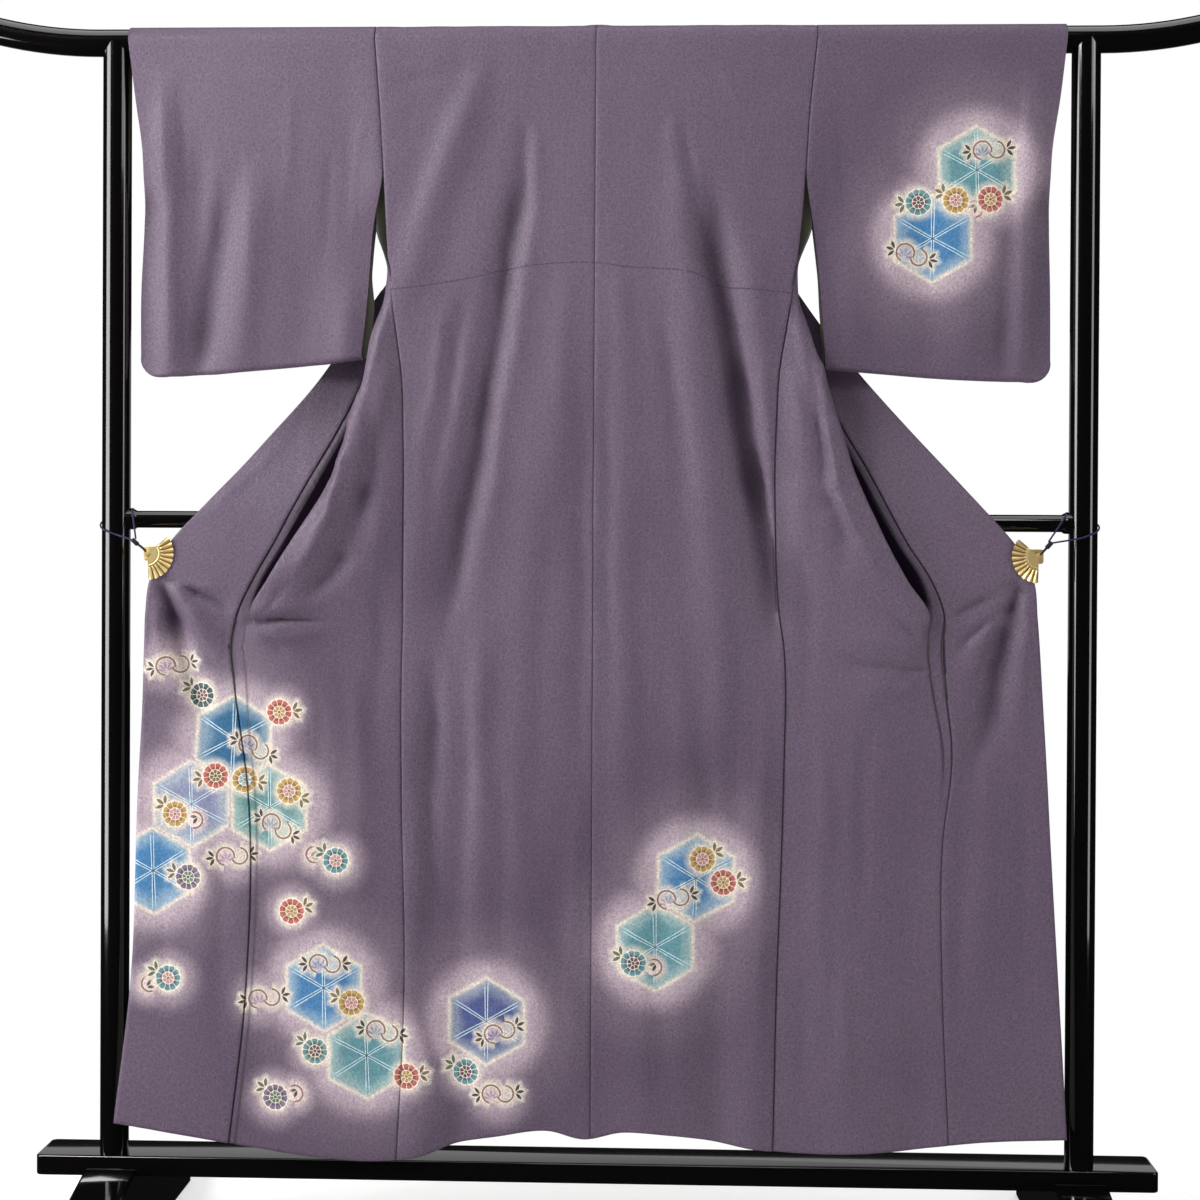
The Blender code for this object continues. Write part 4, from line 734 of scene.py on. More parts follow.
def figured_silk(graph, given):
    """Small leaves woven in satin on a duller ground, with the threads' own fine relief."""
    def scattered(scale, length, width, shift):
        """Leaves one to a cell, each turned its own way: 1 inside, 0 outside."""
        moved = graph.moved("ADD", given["Weave"], (shift, shift * 0.7, 0.0))
        cells = graph.node("ShaderNodeTexVoronoi", {"Vector": moved, "Scale": scale}, feature="F1",
                           voronoi_dimensions="2D")
        u, v, _ = graph.split(graph.moved("SUBTRACT", moved, cells.outputs["Position"]))
        turn = graph.red_of(cells.outputs["Color"]) * math.pi
        cosine, sine = graph.math("COSINE", turn), graph.math("SINE", turn)
        along = (u * cosine + v * sine) / length + 0.5
        aside = (v * cosine - u * sine).size()
        return (along * (1.0 - along) * (4.0 * width) - aside).above(-0.0003, 0.0003)

    patch = graph.noise(given["Weave"], 90.0, 4.0)
    broad = scattered(250.0, 0.0044, 0.0014, 0.0)
    fine = scattered(390.0, 0.0028, 0.0010, 0.31)
    curl = graph.moved("MULTIPLY_ADD", graph.noise(given["Weave"], 150.0, 2.0, "Color"),
                       (0.010, 0.010, 0.0), given["Weave"])
    net = graph.node("ShaderNodeTexVoronoi", {"Vector": curl, "Scale": 105.0}, feature="DISTANCE_TO_EDGE",
                     voronoi_dimensions="2D")
    vine = Signal(graph, net.outputs["Distance"]).above(0.12, 0.04)
    satin = (broad * patch.above(0.44, 0.60)).most(fine * patch.above(0.58, 0.40) * 0.8)
    satin = (satin * 0.85).most(vine * 0.62)
    thread = graph.threads(given["Weave"], "X", 420.0, 1.5, 2.0)
    slub = graph.noise(graph.stretched(given["Weave"], (9.0, 0.55, 1.0)), 120.0, 2.0)
    height = satin * 0.8 + thread * 0.10 + slub * 0.25
    return satin, height, slub


def plain_weave(graph, given):
    """Crossing threads of a plain weave with slubs, from the cloth's own lengths."""
    warp, weft = (graph.threads(given["Weave"], way, 380.0, 1.2, 1.0) for way in "XY")
    slub = graph.noise(graph.stretched(given["Weave"], (1.0, 14.0, 1.0)), 60.0, 3.0)
    return (warp * 0.5 + weft * 0.5) * 0.7 + slub * 0.3, slub


GROUPS = {
    "Hexagon": (hexagon, ("Place", "Motif", "Dye"), ("Colour", "Mask")),
    "Blossom": (blossom, ("Place", "Motif", "Dye", "Heart"), ("Colour", "Mask")),
    "Scroll": (scroll, ("Place", "Motif"), ("Colour", "Mask")),
    "Crescent": (crescent, ("Place", "Motif"), ("Colour", "Mask")),
    "Figured silk": (figured_silk, ("Weave",), ("Satin", "Height", "Slub")),
    "Plain weave": (plain_weave, ("Weave",), ("Height", "Slub")),
}
SOCKET_TYPES = {"Place": "NodeSocketVector", "Motif": "NodeSocketVector", "Weave": "NodeSocketVector",
                "Dye": "NodeSocketColor", "Heart": "NodeSocketColor", "Colour": "NodeSocketColor"}


def shader_group(name):
    """The node group of that name, built on its first use. Sockets that SOCKET_TYPES lacks are numbers."""
    tree = bpy.data.node_groups.get(name)
    if tree:
        return tree
    tree = bpy.data.node_groups.new(name, "ShaderNodeTree")
    build, inputs, outputs = GROUPS[name]
    for way, labels in (("INPUT", inputs), ("OUTPUT", outputs)):
        for label in labels:
            kind = SOCKET_TYPES.get(label, "NodeSocketFloat")
            tree.interface.new_socket(label, in_out=way, socket_type=kind)
    graph = Graph(tree)
    entry = tree.nodes.new("NodeGroupInput")
    leave = tree.nodes.new("NodeGroupOutput")
    results = build(graph, {socket.name: socket for socket in entry.outputs if socket.name})
    for label, value in zip(outputs, results):
        graph.feed(leave.inputs[label], value)
    return tree


def new_material(name):
    """A material with a plain Principled BSDF, the Graph that writes its tree, and that shader."""
    material = bpy.data.materials.new(name)
    material.use_nodes = True
    shader = material.node_tree.nodes["Principled BSDF"]
    return material, Graph(material.node_tree), shader


def surface(graph, shader, colour, roughness, height, strength, distance):
    """Feeds a shader its colour and roughness, and a relief of the given strength and depth."""
    graph.feed(shader.inputs["Base Color"], colour)
    graph.feed(shader.inputs["Roughness"], roughness)
    bump = graph.node("ShaderNodeBump", {"Strength": strength, "Distance": distance, "Height": height})
    graph.feed(shader.inputs["Normal"], bump.outputs["Normal"])


def dyed_colour(graph, silk):
    """The ground colour with the dyed motifs laid over it, lowest first."""
    place = graph.place()
    halo, shade = graph.attribute("halo"), graph.attribute("shade")
    silk = graph.mix(shade * 0.34, silk, graph.toned(silk, 0.62, 0.56, 0.64))
    silk = graph.mix(halo * (halo * 0.30 + 0.34), silk, (0.50, 0.40, 0.44, 1.0))
    for motif in ("hexagon", "scroll", "crescent", "blossom"):
        inputs = {dye.title(): graph.attribute(motif + "_" + dye, "Color") for dye in MOTIFS[motif][2]}
        inputs.update({"Place": place, "Motif": graph.attribute(motif, "Vector")})
        layer = graph.call(motif.title(), inputs)
        silk = graph.mix(layer["Mask"], silk, layer["Colour"])
    return silk


def tuck_line(graph):
    """1 along the stitched tuck across the back, in short stitches."""
    place = graph.place()
    x, _, z = graph.split(place)
    curve = graph.node("ShaderNodeFloatCurve", {"Value": (x + 0.32) / 0.64})
    points = curve.mapping.curves[0].points
    knots = [((at + 0.32) / 0.64, (height - 1.30) / 0.12) for at, height in TUCK_ROWS]
    points[0].location, points[-1].location = (0.0, knots[0][1]), (1.0, knots[-1][1])
    for knot in knots[1:-1]:
        points.new(*knot)
    curve.mapping.update()
    line = Signal(graph, curve.outputs["Value"]) * 0.12 + 1.30
    stitch = graph.math("SINE", x * 900.0).above(-0.75, -0.25)
    return (z - line).size().above(0.0011, 0.0004) * (stitch * 0.5 + 0.5)


def silk_material(name, dyed=False, tucked=False):
    settings = bpy.context.scene.kimono_settings
    material, graph, shader = new_material(name)
    satin, height, slub = graph.call("Figured silk", {"Weave": graph.weave_place()}).values()
    place = graph.place()
    drift = graph.noise(place, 2.6, 3.0)
    ground = graph.mix(drift.above(0.30, 0.72), graph.toned(settings.silk, 0.92, 0.88, 0.93),
                       graph.toned(settings.silk, 1.07, 1.06, 1.05))
    if dyed:
        ground = dyed_colour(graph, ground)
    ground = graph.mix(slub.above(0.30, 0.70) * 0.22, ground,
                       graph.toned(ground, 0.72, 0.70, 0.72))
    # The satin leaves are the silk's woven figure; their lighter colour is a painted sheen.
    figured = graph.mix(satin * 0.72, graph.toned(ground, 0.88, 0.87, 0.88),
                        graph.toned(ground, 1.56, 1.53, 1.58))
    # Painted shade: the silk is darkened in the hollows of folds, in the recess beside each strip and below
    # each sleeve.
    hollow_shade = graph.attribute("hollow_shade")
    figured = graph.mix(hollow_shade, figured, graph.toned(figured, 0.055, 0.045, 0.060))
    # Painted shadow: the silk is darkened in a narrow line along seams and along the step to each pressed
    # strip.
    seam = graph.attribute("seam")
    relief = height
    if tucked:
        # The stitched tuck adds its painted shade in short stitches, and sinks the relief.
        tuck = tuck_line(graph)
        seam = seam.most(tuck * 0.55)
        relief = height - tuck * 1.5
    seam_shaded = graph.mix(seam * 0.84, figured, graph.toned(figured, 0.10, 0.08, 0.11))
    graph.feed(shader.inputs["Specular IOR Level"], (1.0 - hollow_shade) * 0.50)
    shader.inputs["Sheen Weight"].default_value = 0.10
    shader.inputs["Sheen Roughness"].default_value = 0.38
    shader.inputs["Sheen Tint"].default_value = (0.86, 0.80, 0.90, 1.0)
    surface(graph, shader, seam_shaded, 0.50 - satin * 0.20 + slub * 0.06, relief, 0.75, 0.0006)
    return material


def lining_material():
    settings = bpy.context.scene.kimono_settings
    material, graph, shader = new_material("Olive grey lining")
    height, slub = graph.call("Plain weave", {"Weave": graph.weave_place()}).values()
    tone = graph.mix(slub, graph.toned(settings.lining, 0.86, 0.86, 0.84),
                     graph.toned(settings.lining, 1.14, 1.13, 1.10))
    shader.inputs["Specular IOR Level"].default_value = 0.30
    shader.inputs["Sheen Weight"].default_value = 0.15
    surface(graph, shader, tone, slub * 0.12 + 0.50, height, 0.30, 0.0003)
    return material


def lacquer_material():
    settings = bpy.context.scene.rack_settings
    material, graph, shader = new_material("Black lacquer")
    place = graph.place()
    cloud = graph.noise(place, 5.0, 3.0)
    dust = graph.noise(place, 900.0, 1.0).above(0.70, 0.80)
    tone = graph.mix(cloud, settings.lacquer, graph.toned(settings.lacquer, 1.7, 1.5, 1.5))
    tone = graph.mix(dust * 0.012, tone, (0.35, 0.33, 0.32, 1.0))
    shader.inputs["Specular IOR Level"].default_value = 0.85
    shader.inputs["Coat Weight"].default_value = 0.80
    shader.inputs["Coat Roughness"].default_value = 0.04
    surface(graph, shader, tone, cloud * 0.05 + dust * 0.06 + 0.07, graph.noise(place, 38.0), 0.06, 0.0004)
    return material


def gilt_material():
    settings = bpy.context.scene.clip_settings
    material, graph, shader = new_material("Gilt metal")
    place = graph.place()
    grain = graph.noise(place, 900.0, 3.0)
    stain = graph.noise(place, 120.0, 3.0).above(0.52, 0.75)
    # Real stains, and painted shade in the grooves between the pleats, darken the gilt.
    stain_and_shade = graph.toned(settings.gilt, 0.13, 0.085, 0.03)
    groove = graph.attribute("groove")
    tone = graph.mix((stain * 0.30).most(groove), settings.gilt, stain_and_shade)
    shader.inputs["Metallic"].default_value = 0.68
    surface(graph, shader, tone, grain * 0.14 + stain * 0.10 + 0.27, grain, 0.12, 0.0002)
    return material


def stem_material():
    return cord_material("Dark cord", STEM_COLOUR)


def cord_material(name="Navy cord", colour=None):
    """Strands twisted together."""
    settings = bpy.context.scene.clip_settings
    base = colour or settings.cord
    material, graph, shader = new_material(name)
    place = graph.place()
    x, y, z = graph.split(place)
    lay = graph.math("SINE", (x * 0.8 + z + y * 0.6) * 3600.0)
    fluff = graph.noise(place, 1400.0, 2.0)
    # Painted shade and highlight: darker in the grooves of the lay, lighter on the strands.
    tone = graph.mix(lay.above(-0.9, 0.9), graph.toned(base, 0.45, 0.45, 0.50),
                     graph.toned(base, 1.6, 1.6, 1.4))
    shader.inputs["Sheen Weight"].default_value = 0.08
    surface(graph, shader, tone, fluff * 0.2 + 0.62, lay * 0.5 + fluff * 0.3, 0.5, 0.0004)
    return material


def finish_of(name, make):
    """The material of that name, made on its first use."""
    return bpy.data.materials.get(name) or make()


def side_sign(side):
    return -1.0 if side == "left" else 1.0


def unit(vectors):
    return vectors / np.maximum(np.linalg.norm(vectors, axis=-1, keepdims=True), 1e-12)


def stacked(*parts):
    """Coordinates side by side, as points."""
    return np.stack(parts, axis=-1)


def smooth_step(low, high, at):
    t = np.clip((at - low) / (high - low), 0.0, 1.0)
    return t * t * (3 - 2 * t)


def smooth_value(rows, columns, name, at):
    """The named column where the first column equals `at`, on a smooth curve through the rows."""
    table = np.array(rows)
    if table[0, 0] > table[-1, 0]:
        table = table[::-1]
    keys, values = table[:, 0], table[:, columns.index(name)]
    slopes = np.gradient(values, keys)
    at = np.clip(at, keys[0], keys[-1])
    i = np.clip(np.searchsorted(keys, at) - 1, 0, len(keys) - 2)
    span = keys[i + 1] - keys[i]
    t = (at - keys[i]) / span
    return (values[i] * (1 + 2 * t) * (1 - t) ** 2 + slopes[i] * span * t * (1 - t) ** 2
            + values[i + 1] * t * t * (3 - 2 * t) + slopes[i + 1] * span * t * t * (t - 1))


def over_rail(drop, radius=OVER_RAIL):
    """How far out of the rail's plane, and how high, cloth lies that far down from the ridge."""
    quarter = radius * math.pi / 2
    turn = np.minimum(drop, quarter) / radius
    return radius * np.sin(turn), RAIL_Z + radius * np.cos(turn) - np.maximum(drop - quarter, 0.0)


def ripple(folds, x, z):
    """Depth toward -Y that a table of folds gives at x, z."""
    depth = np.zeros(np.broadcast(x, z).shape)
    for top_x, top_z, foot_x, foot_z, width, height in folds:
        run = np.clip((top_z - z) / (top_z - foot_z), 0.0, 1.0)
        line_x = top_x + (foot_x - top_x) * run
        ends = smooth_step(top_z, top_z - 0.12, z) * smooth_step(foot_z - 0.06, foot_z + 0.06, z)
        depth = depth + height * ends * np.exp(-(((x - line_x) / width) ** 2))
    return depth


def creases(table, x, z):
    """Height above the cloth that a table of creases gives at x, z. A slight waviness bends them all."""
    for size, across, up in CREASE_WAVES:
        x, z = x + size * np.sin(across * x + up * z), z + size * np.sin(up * x - across * z)
    total = np.zeros(np.broadcast(x, z).shape)
    for x0, z0, x1, z1, start, end, depth, sharp, *lean in table:
        run_x, run_z = x1 - x0, z1 - z0
        along = ((x - x0) * run_x + (z - z0) * run_z) / (run_x ** 2 + run_z ** 2)
        run = np.clip(along, 0.0, 1.0)
        away = np.hypot(x - x0 - run_x * run, z - z0 - run_z * run)
        width = start + (end - start) * run
        if lean:
            toward = np.sign(x0 + run_x * run - x)
            width = width * (1 + lean[0] * toward)
        soft = np.exp(-((away / width) ** 2))
        pressed = np.exp(-away / (0.6 * width))
        fade = smooth_step(-0.06, 0.24, along) * smooth_step(1.08, 0.52, along)
        total = total + depth * fade * (soft * (1 - sharp) + pressed * sharp)
    return total


def front_value(side, name, z):
    return smooth_value(FRONT_ROWS[side], FRONT_COLUMNS, name, z)


def back_y(x, z):
    """The back's wall leans forward of the rail as it falls, with its folds."""
    return RAIL_Y - OVER_RAIL - 0.013 * smooth_step(RAIL_Z, 1.05, z) - ripple(BACK_FOLDS, x, z)


def far_y(z):
    return RAIL_Y + OVER_RAIL - 0.030 * (RAIL_Z - z)


def side_y(side, z):
    lap = bpy.context.scene.kimono_settings.wall + 2 * SEAM_GAP
    joined = back_y(side_sign(side) * front_value(side, "side_x", z), z) + lap
    return joined + (far_y(z) - joined) * smooth_step(SIDE_SEAM_TOP, ARMHOLE_FOOT, z)


def hem_height(x, z):
    """Height of a point that would be at z if the hem were level."""
    hem = smooth_value(HEM_ROWS, HEM_COLUMNS, "z", x)
    return z + (hem - HEM_BASE) * smooth_step(HEM_BLEND_TOP, HEM_BASE, z)


def grid_lines(length, close_start=False, close_end=False, cell=None):
    """Fractions of a length where the grid's lines run, with closer ones beside a seam."""
    cell = cell or bpy.context.scene.kimono_settings.cell
    first = SEAM_CLOSE_LINES[-1] if close_start else 0.0
    last = length - (SEAM_CLOSE_LINES[-1] if close_end else 0.0)
    even = np.linspace(first, last, max(round((last - first) / cell), 2) + 1)
    lines = [[0.0], SEAM_CLOSE_LINES[:-1]] if close_start else []
    lines.append(even)
    if close_end:
        lines.append([length - near for near in SEAM_CLOSE_LINES[-2::-1]] + [length])
    return np.concatenate(lines) / length


def curve_through(knots, lines, beyond=None):
    """Smooth curves through rows of knots (rows, knots, 2 or 3), cut at fractions `lines` of each span."""
    last = 2 * knots[:, -1] - knots[:, -2] if beyond is None else beyond
    padded = np.concatenate([2 * knots[:, :1] - knots[:, 1:2], knots, last[:, None]], axis=1)
    steps = np.maximum(np.linalg.norm(np.diff(padded, axis=1), axis=2), 1e-5) ** 0.5
    times = np.concatenate([np.zeros((len(knots), 1)), np.cumsum(steps, axis=1)], axis=1)[..., None, None]
    columns = []
    for i, parts in enumerate(lines):
        points = [padded[:, i + k, None, :] for k in range(4)]
        parts = parts if i == len(lines) - 1 else parts[:-1]
        t = times[:, i + 1] + (times[:, i + 2] - times[:, i + 1]) * np.array(parts)[None, :, None]
        for spans in (((0, 1), (1, 2), (2, 3)), ((0, 2), (1, 3)), ((1, 2),)):
            ends = [(times[:, i + first], times[:, i + last]) for first, last in spans]
            points = [here * ((last - t) / (last - first)) + after * ((t - first) / (last - first))
                      for here, after, (first, last) in zip(points, points[1:], ends)]
        columns.append(points[0])
    return np.concatenate(columns, axis=1)


def front_knots(side, z):
    knots = [stacked(front_value(side, "side_x", z) + SEAM_GAP, side_y(side, z))]
    for name in ("crest", "ridge", "valley", "seam", "edge"):
        knots.append(stacked(front_value(side, name + "_x", z), front_value(side, name + "_y", z)))
    return np.stack(knots, axis=1)


def front_sections(side, z, lines):
    """The front's part of each section, as outward x and y, from the side seam to the overlap's seam."""
    knots = front_knots(side, z)
    straight_on = 2 * knots[:, 4] - knots[:, 3]
    joined = smooth_step(OVERLAP_TOP + 0.03, OVERLAP_TOP - 0.06, z)[:, None]
    return curve_through(knots[:, :5], lines, straight_on + (knots[:, 5] - straight_on) * joined)


def outward_normals(points, sign):
    """Unit normals of the cloth's outer face, for a grid of points (rows, columns, 3)."""
    return unit(np.cross(np.gradient(points, axis=0), np.gradient(points, axis=1)) * sign)


def soft_noise(points, scale, stretch=(1.0, 1.0, 0.45), seed=0.0):
    """Smooth noise from -1 to 1 over a grid of points."""
    flat = (points * np.array(stretch) * scale).reshape(-1, 3) + seed
    values = [noise.noise(Vector(point)) for point in flat]
    return np.array(values).reshape(points.shape[:2])


def arc_lengths(points, axis):
    steps = np.linalg.norm(np.diff(points, axis=axis), axis=2)
    start = np.zeros_like(np.take(steps, [0], axis=axis))
    return np.concatenate([start, np.cumsum(steps, axis=axis)], axis=axis)


def seam_roll(points, start, end):
    """How close each point is to the seams at the first and last column: 1 at a seam, 0 away from it."""
    along = arc_lengths(points, 1)
    near = np.zeros(points.shape[:2])
    if start:
        near = np.maximum(near, smooth_step(SEAM_ROLL_WIDTH, 0.0, along))
    if end:
        near = np.maximum(near, smooth_step(SEAM_ROLL_WIDTH, 0.0, along[:, -1:] - along))
    return near


def dressed(points, sign, table, seams, seed, settle=0.0, amount=0.0008):
    """Points with creases, slight unevenness and rolled-in seams, and how near each is to a seam.

    Creases die away over the length `settle` beside the first column.
    """
    settings = bpy.context.scene.kimono_settings
    normals = outward_normals(points, sign)
    x, z = points[..., 0], points[..., 2]
    near = seam_roll(points, *seams)
    height = creases(table, x, z) * settings.crease
    if settle:
        height = height * smooth_step(0.002, settle, arc_lengths(points, 1))
    height = height + soft_noise(points, 22.0, seed=seed) * amount
    height = height + soft_noise(points, 75.0, seed=seed + 7.0) * amount * 0.30
    return points + normals * (height * (1 - near) - SEAM_ROLL * near)[..., None], near


def averaged(field, reach):
    """The field averaged over `reach` cells each way along both axes."""
    for axis in (0, 1):
        count = field.shape[axis]
        margin = [(0, 0), (0, 0)]
        margin[axis] = (reach + 1, reach)
        total = np.cumsum(np.pad(field, margin, mode="edge"), axis=axis)
        window = 2 * reach + 1
        sums = np.take(total, range(window, window + count), axis) - np.take(total, range(count), axis)
        field = sums / window
    return field


def hollows(points):
    """How deep in a fold each point lies, from 0 to 1: there less light comes and the silk looks darker."""
    cell = bpy.context.scene.kimono_settings.cell
    depth = points[..., 1]
    sunk = np.zeros(depth.shape)
    for reach, weight in ((0.013, 1.0), (0.036, 0.55)):
        cells = round(reach / cell)
        sunk = np.maximum(sunk, weight * (depth - averaged(averaged(depth, cells), cells)))
    below_rail = smooth_step(RAIL_Z, RAIL_Z - 0.04, points[..., 2])
    return (0.42 * smooth_step(0.0002, 0.0050, sunk) + 0.30 * smooth_step(0.0040, 0.0095, sunk)) * below_rail


def sleeve_shade(side, z):
    """How dark the sleeve's shadow lies on the front behind and below it."""
    return SLEEVE_SHADE[side] * smooth_step(1.12, 1.25, z) * smooth_step(*RECESS_TOP, z)


def stitched(near):
    """From the closeness to a seam, the narrow shadow along its stitches."""
    return smooth_step(1 - STITCH_SHADOW / SEAM_ROLL_WIDTH, 1.0, near)


def tucked_under(points, field, column, run=None, behind=TUCK_BEHIND):
    """Adds a column that runs on behind the neighbouring piece, so that no light comes through the seam."""
    first, inner = (points[:, 0], points[:, RUN]) if column == 0 else (points[:, -1], points[:, -1 - RUN])
    run = first - inner if run is None else run
    extra = (first + unit(run) * TUCK_UNDER + np.array([0.0, behind, 0.0]))[:, None]
    shadow = np.ones((len(points), 1))
    if column == 0:
        return np.concatenate([extra, points], axis=1), np.concatenate([shadow, field], axis=1)
    return np.concatenate([points, extra], axis=1), np.concatenate([field, shadow], axis=1)


def motif_fields(points):
    """How much pale halo and how much darker dye surrounds the motifs at each point."""
    x, z = points[..., 0], points[..., 2]
    halo = np.zeros(x.shape)
    shade = np.zeros(x.shape)
    for centre_x, centre_z, *_ in HEXAGONS:
        away = np.hypot(x - centre_x, z - centre_z)
        halo = np.maximum(halo, smooth_step(0.104, 0.058, away) + 0.30 * smooth_step(0.170, 0.080, away))
        shade = np.maximum(shade, smooth_step(0.30, 0.13, away))
    for table, reach in ((BLOSSOMS, 0.060), (SCROLLS, 0.066), (CRESCENTS, 0.046)):
        for centre_x, centre_z, *_ in table:
            halo = np.maximum(halo, smooth_step(reach, 0.018, np.hypot(x - centre_x, z - centre_z)))
    shown = smooth_step(RAIL_Y + 0.002, RAIL_Y - 0.002, points[..., 1])
    halo = np.minimum(halo, 1.0)
    return halo * shown, shade * (1 - halo) * shown


def nearest(table, reach, x, z):
    """For each point the number of the nearest motif in the table, or -1 where all are out of reach."""
    centres = np.array([row[:2] for row in table])
    away = np.hypot(x[:, None] - centres[:, 0], z[:, None] - centres[:, 1])
    found = away.argmin(axis=1)
    return np.where(away.min(axis=1) < reach, found, -1)


def set_attribute(mesh, name, kind, domain, values):
    layer = mesh.attributes.new(name, kind, domain)
    field = {"FLOAT": "value", "FLOAT_VECTOR": "vector", "FLOAT_COLOR": "color"}[kind]
    layer.data.foreach_set(field, np.ascontiguousarray(values, dtype=np.float32).ravel())


def give_motifs(mesh):
    """Tells each face which motif of each kind is nearest, and its dyes."""
    count = len(mesh.polygons)
    centres, normals = np.zeros(count * 3), np.zeros(count * 3)
    mesh.polygons.foreach_get("center", centres)
    mesh.polygons.foreach_get("normal", normals)
    centres, normals = centres.reshape(-1, 3), normals.reshape(-1, 3)
    shown = normals[:, 1] < -0.15
    for name, (table, reach, dyes) in MOTIFS.items():
        found = np.where(shown, nearest(table, reach, centres[:, 0], centres[:, 2]), -1)
        spots = np.array([(x, z, math.radians(turn)) for x, z, turn, *_ in table] + [FAR_AWAY])
        set_attribute(mesh, name, "FLOAT_VECTOR", "FACE", spots[found])
        for number, dye in enumerate(dyes):
            colours = np.array([(*DYES[row[3 + number]], 1.0) for row in table] + [(0.0, 0.0, 0.0, 1.0)])
            set_attribute(mesh, name + "_" + dye, "FLOAT_COLOR", "FACE", colours[found])


def woven(name, points, sign, seam, finishes, wall=None, dyed=False, tube=False, hollow_shade=None):
    """A piece of cloth: a grid whose points are set from an array (rows, columns, 3), given a thickness."""
    rows, columns = points.shape[:2]
    shape = bmesh.new()
    bmesh.ops.create_grid(shape, x_segments=columns - 1, y_segments=rows - 1, size=0.5)
    if sign > 0:
        bmesh.ops.reverse_faces(shape, faces=shape.faces)
    mesh = mesh_of(name, shape)
    mesh.vertices.foreach_set("co", np.ascontiguousarray(points, dtype=np.float32).ravel())
    mesh.update()
    lengths = stacked(arc_lengths(points, 1), -arc_lengths(points, 0)).reshape(-1, 2)
    corners = np.zeros(len(mesh.loops), dtype=np.int32)
    mesh.loops.foreach_get("vertex_index", corners)
    weave = mesh.uv_layers.new(name="cloth")
    weave.uv.foreach_set("vector", np.ascontiguousarray(lengths[corners], dtype=np.float32).ravel())
    set_attribute(mesh, "seam", "FLOAT", "POINT", seam)
    # Painted shade in the hollows of folds, unless a piece gives its own.
    set_attribute(mesh, "hollow_shade", "FLOAT", "POINT", hollows(points) if hollow_shade is None else hollow_shade)
    if dyed:
        halo, shade = motif_fields(points)
        set_attribute(mesh, "halo", "FLOAT", "POINT", halo)
        set_attribute(mesh, "shade", "FLOAT", "POINT", shade)
        give_motifs(mesh)
    if tube:
        merged = bmesh.new()
        merged.from_mesh(mesh)
        bmesh.ops.remove_doubles(merged, verts=merged.verts, dist=1e-5)
        merged.to_mesh(mesh)
        merged.free()
    mesh.shade_smooth()
    for finish in finishes:
        mesh.materials.append(finish)
    obj = new_object(name, mesh)
    solidify = obj.modifiers.new("Wall", "SOLIDIFY")
    solidify.thickness = wall or bpy.context.scene.kimono_settings.wall
    solidify.offset = 0.0
    solidify.material_offset = 1
    return obj


def cloth_finishes(dyed=False, tucked=False):
    name = "Purple grey silk" + (", dyed" if dyed else "") + (", tucked" if tucked else "")
    return (finish_of(name, lambda: silk_material(name, dyed, tucked)),
            finish_of("Olive grey lining", lining_material))


def new_object(name, data):
    obj = bpy.data.objects.new(name, data)
    bpy.context.scene.collection.objects.link(obj)
    return obj


def mesh_of(name, shape):
    """The mesh of a bmesh that has done its work."""
    mesh = bpy.data.meshes.new(name)
    shape.to_mesh(mesh)
    shape.free()
    return mesh


def stand_for(obj, node):
    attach(obj, "root")
    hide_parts(node)


def falls(foot, top_cells=10):
    """Drops of the grid's rows, from the rail's ridge to the foot."""
    quarter = OVER_RAIL * math.pi / 2
    cell = bpy.context.scene.kimono_settings.cell
    over = np.linspace(0.0, quarter, top_cells + 1)[:-1]
    length = RAIL_Z - foot
    return np.concatenate([over, quarter + np.linspace(0.0, length, round(length / cell) + 1)])


class KIMONO_OT_place_camera(bpy.types.Operator):
    """Put the camera where the picture was taken"""

    bl_idname = "kimono.place_camera"
    bl_label = "Place Camera"

    def execute(self, context):
        data = bpy.data.cameras.new("Camera")
        camera = new_object("Camera", data)
        data.lens = context.scene.stage_settings.lens
        data.sensor_width = 36.0
        data.shift_y = CAMERA_SHIFT
        camera.matrix_world = (
            Matrix.Translation(CAMERA_PLACE) @ Matrix.Rotation(CAMERA_TURN, 4, "Z")
            @ Matrix.Rotation(math.radians(90) - CAMERA_DIP, 4, "X") @ Matrix.Rotation(CAMERA_ROLL, 4, "Z")
        )
        context.scene.camera = camera
        return {"FINISHED"}


def cord_route(side):
    """From the knot across the post's front, round behind it, over the middle rail and back."""
    sign = side_sign(side)
    knot = TIE_SPOT[side]
    reach = POST_RADIUS + CORD_RADIUS + 0.0008
    crest = MID_RAIL_Z + MID_RAIL_RADIUS + CORD_RADIUS + 0.0006
    inner = POST_X - reach - 0.0015
    ends = [knot + Vector((sign * out, back, up)).normalized() * (TIE_RADIUS + 2 * SEAM_GAP)
            for out, back, up in (CORD_LEAVES, CORD_RETURNS)]
    points = [ends[0]]
    for turn, rise in CORD_ROUND_POST:
        angle = math.radians(turn)
        points.append(Vector((sign * (POST_X + reach * math.cos(angle)),
                              RAIL_Y + reach * math.sin(angle), knot.z + rise)))
    for x, back, up in ((POST_X - 0.017, 0.0165, 0.0008), (inner, 0.004, 0.0002),
                        (inner - 0.002, -0.0095, -0.0030)):
        points.append(Vector((sign * x, RAIL_Y + back, crest + up)))
    return points + [ends[1]]


def smooth_path(knots, cells):
    """Points on a smooth space curve through the knots, so many cells from one to the next."""
    lines = [np.linspace(0.0, 1.0, cells + 1)] * (len(knots) - 1)
    return curve_through(np.array(knots)[None], lines)[0]


def wire(name, points, radius, finish):
    curve = bpy.data.curves.new(name, "CURVE")
    curve.dimensions = "3D"
    curve.bevel_depth = radius
    curve.bevel_resolution = 3
    curve.use_fill_caps = True
    spline = curve.splines.new("POLY")
    spline.points.add(len(points) - 1)
    for knot, point in zip(spline.points, points):
        knot.co = (*point, 1.0)
    curve.materials.append(finish)
    return new_object(name, curve)


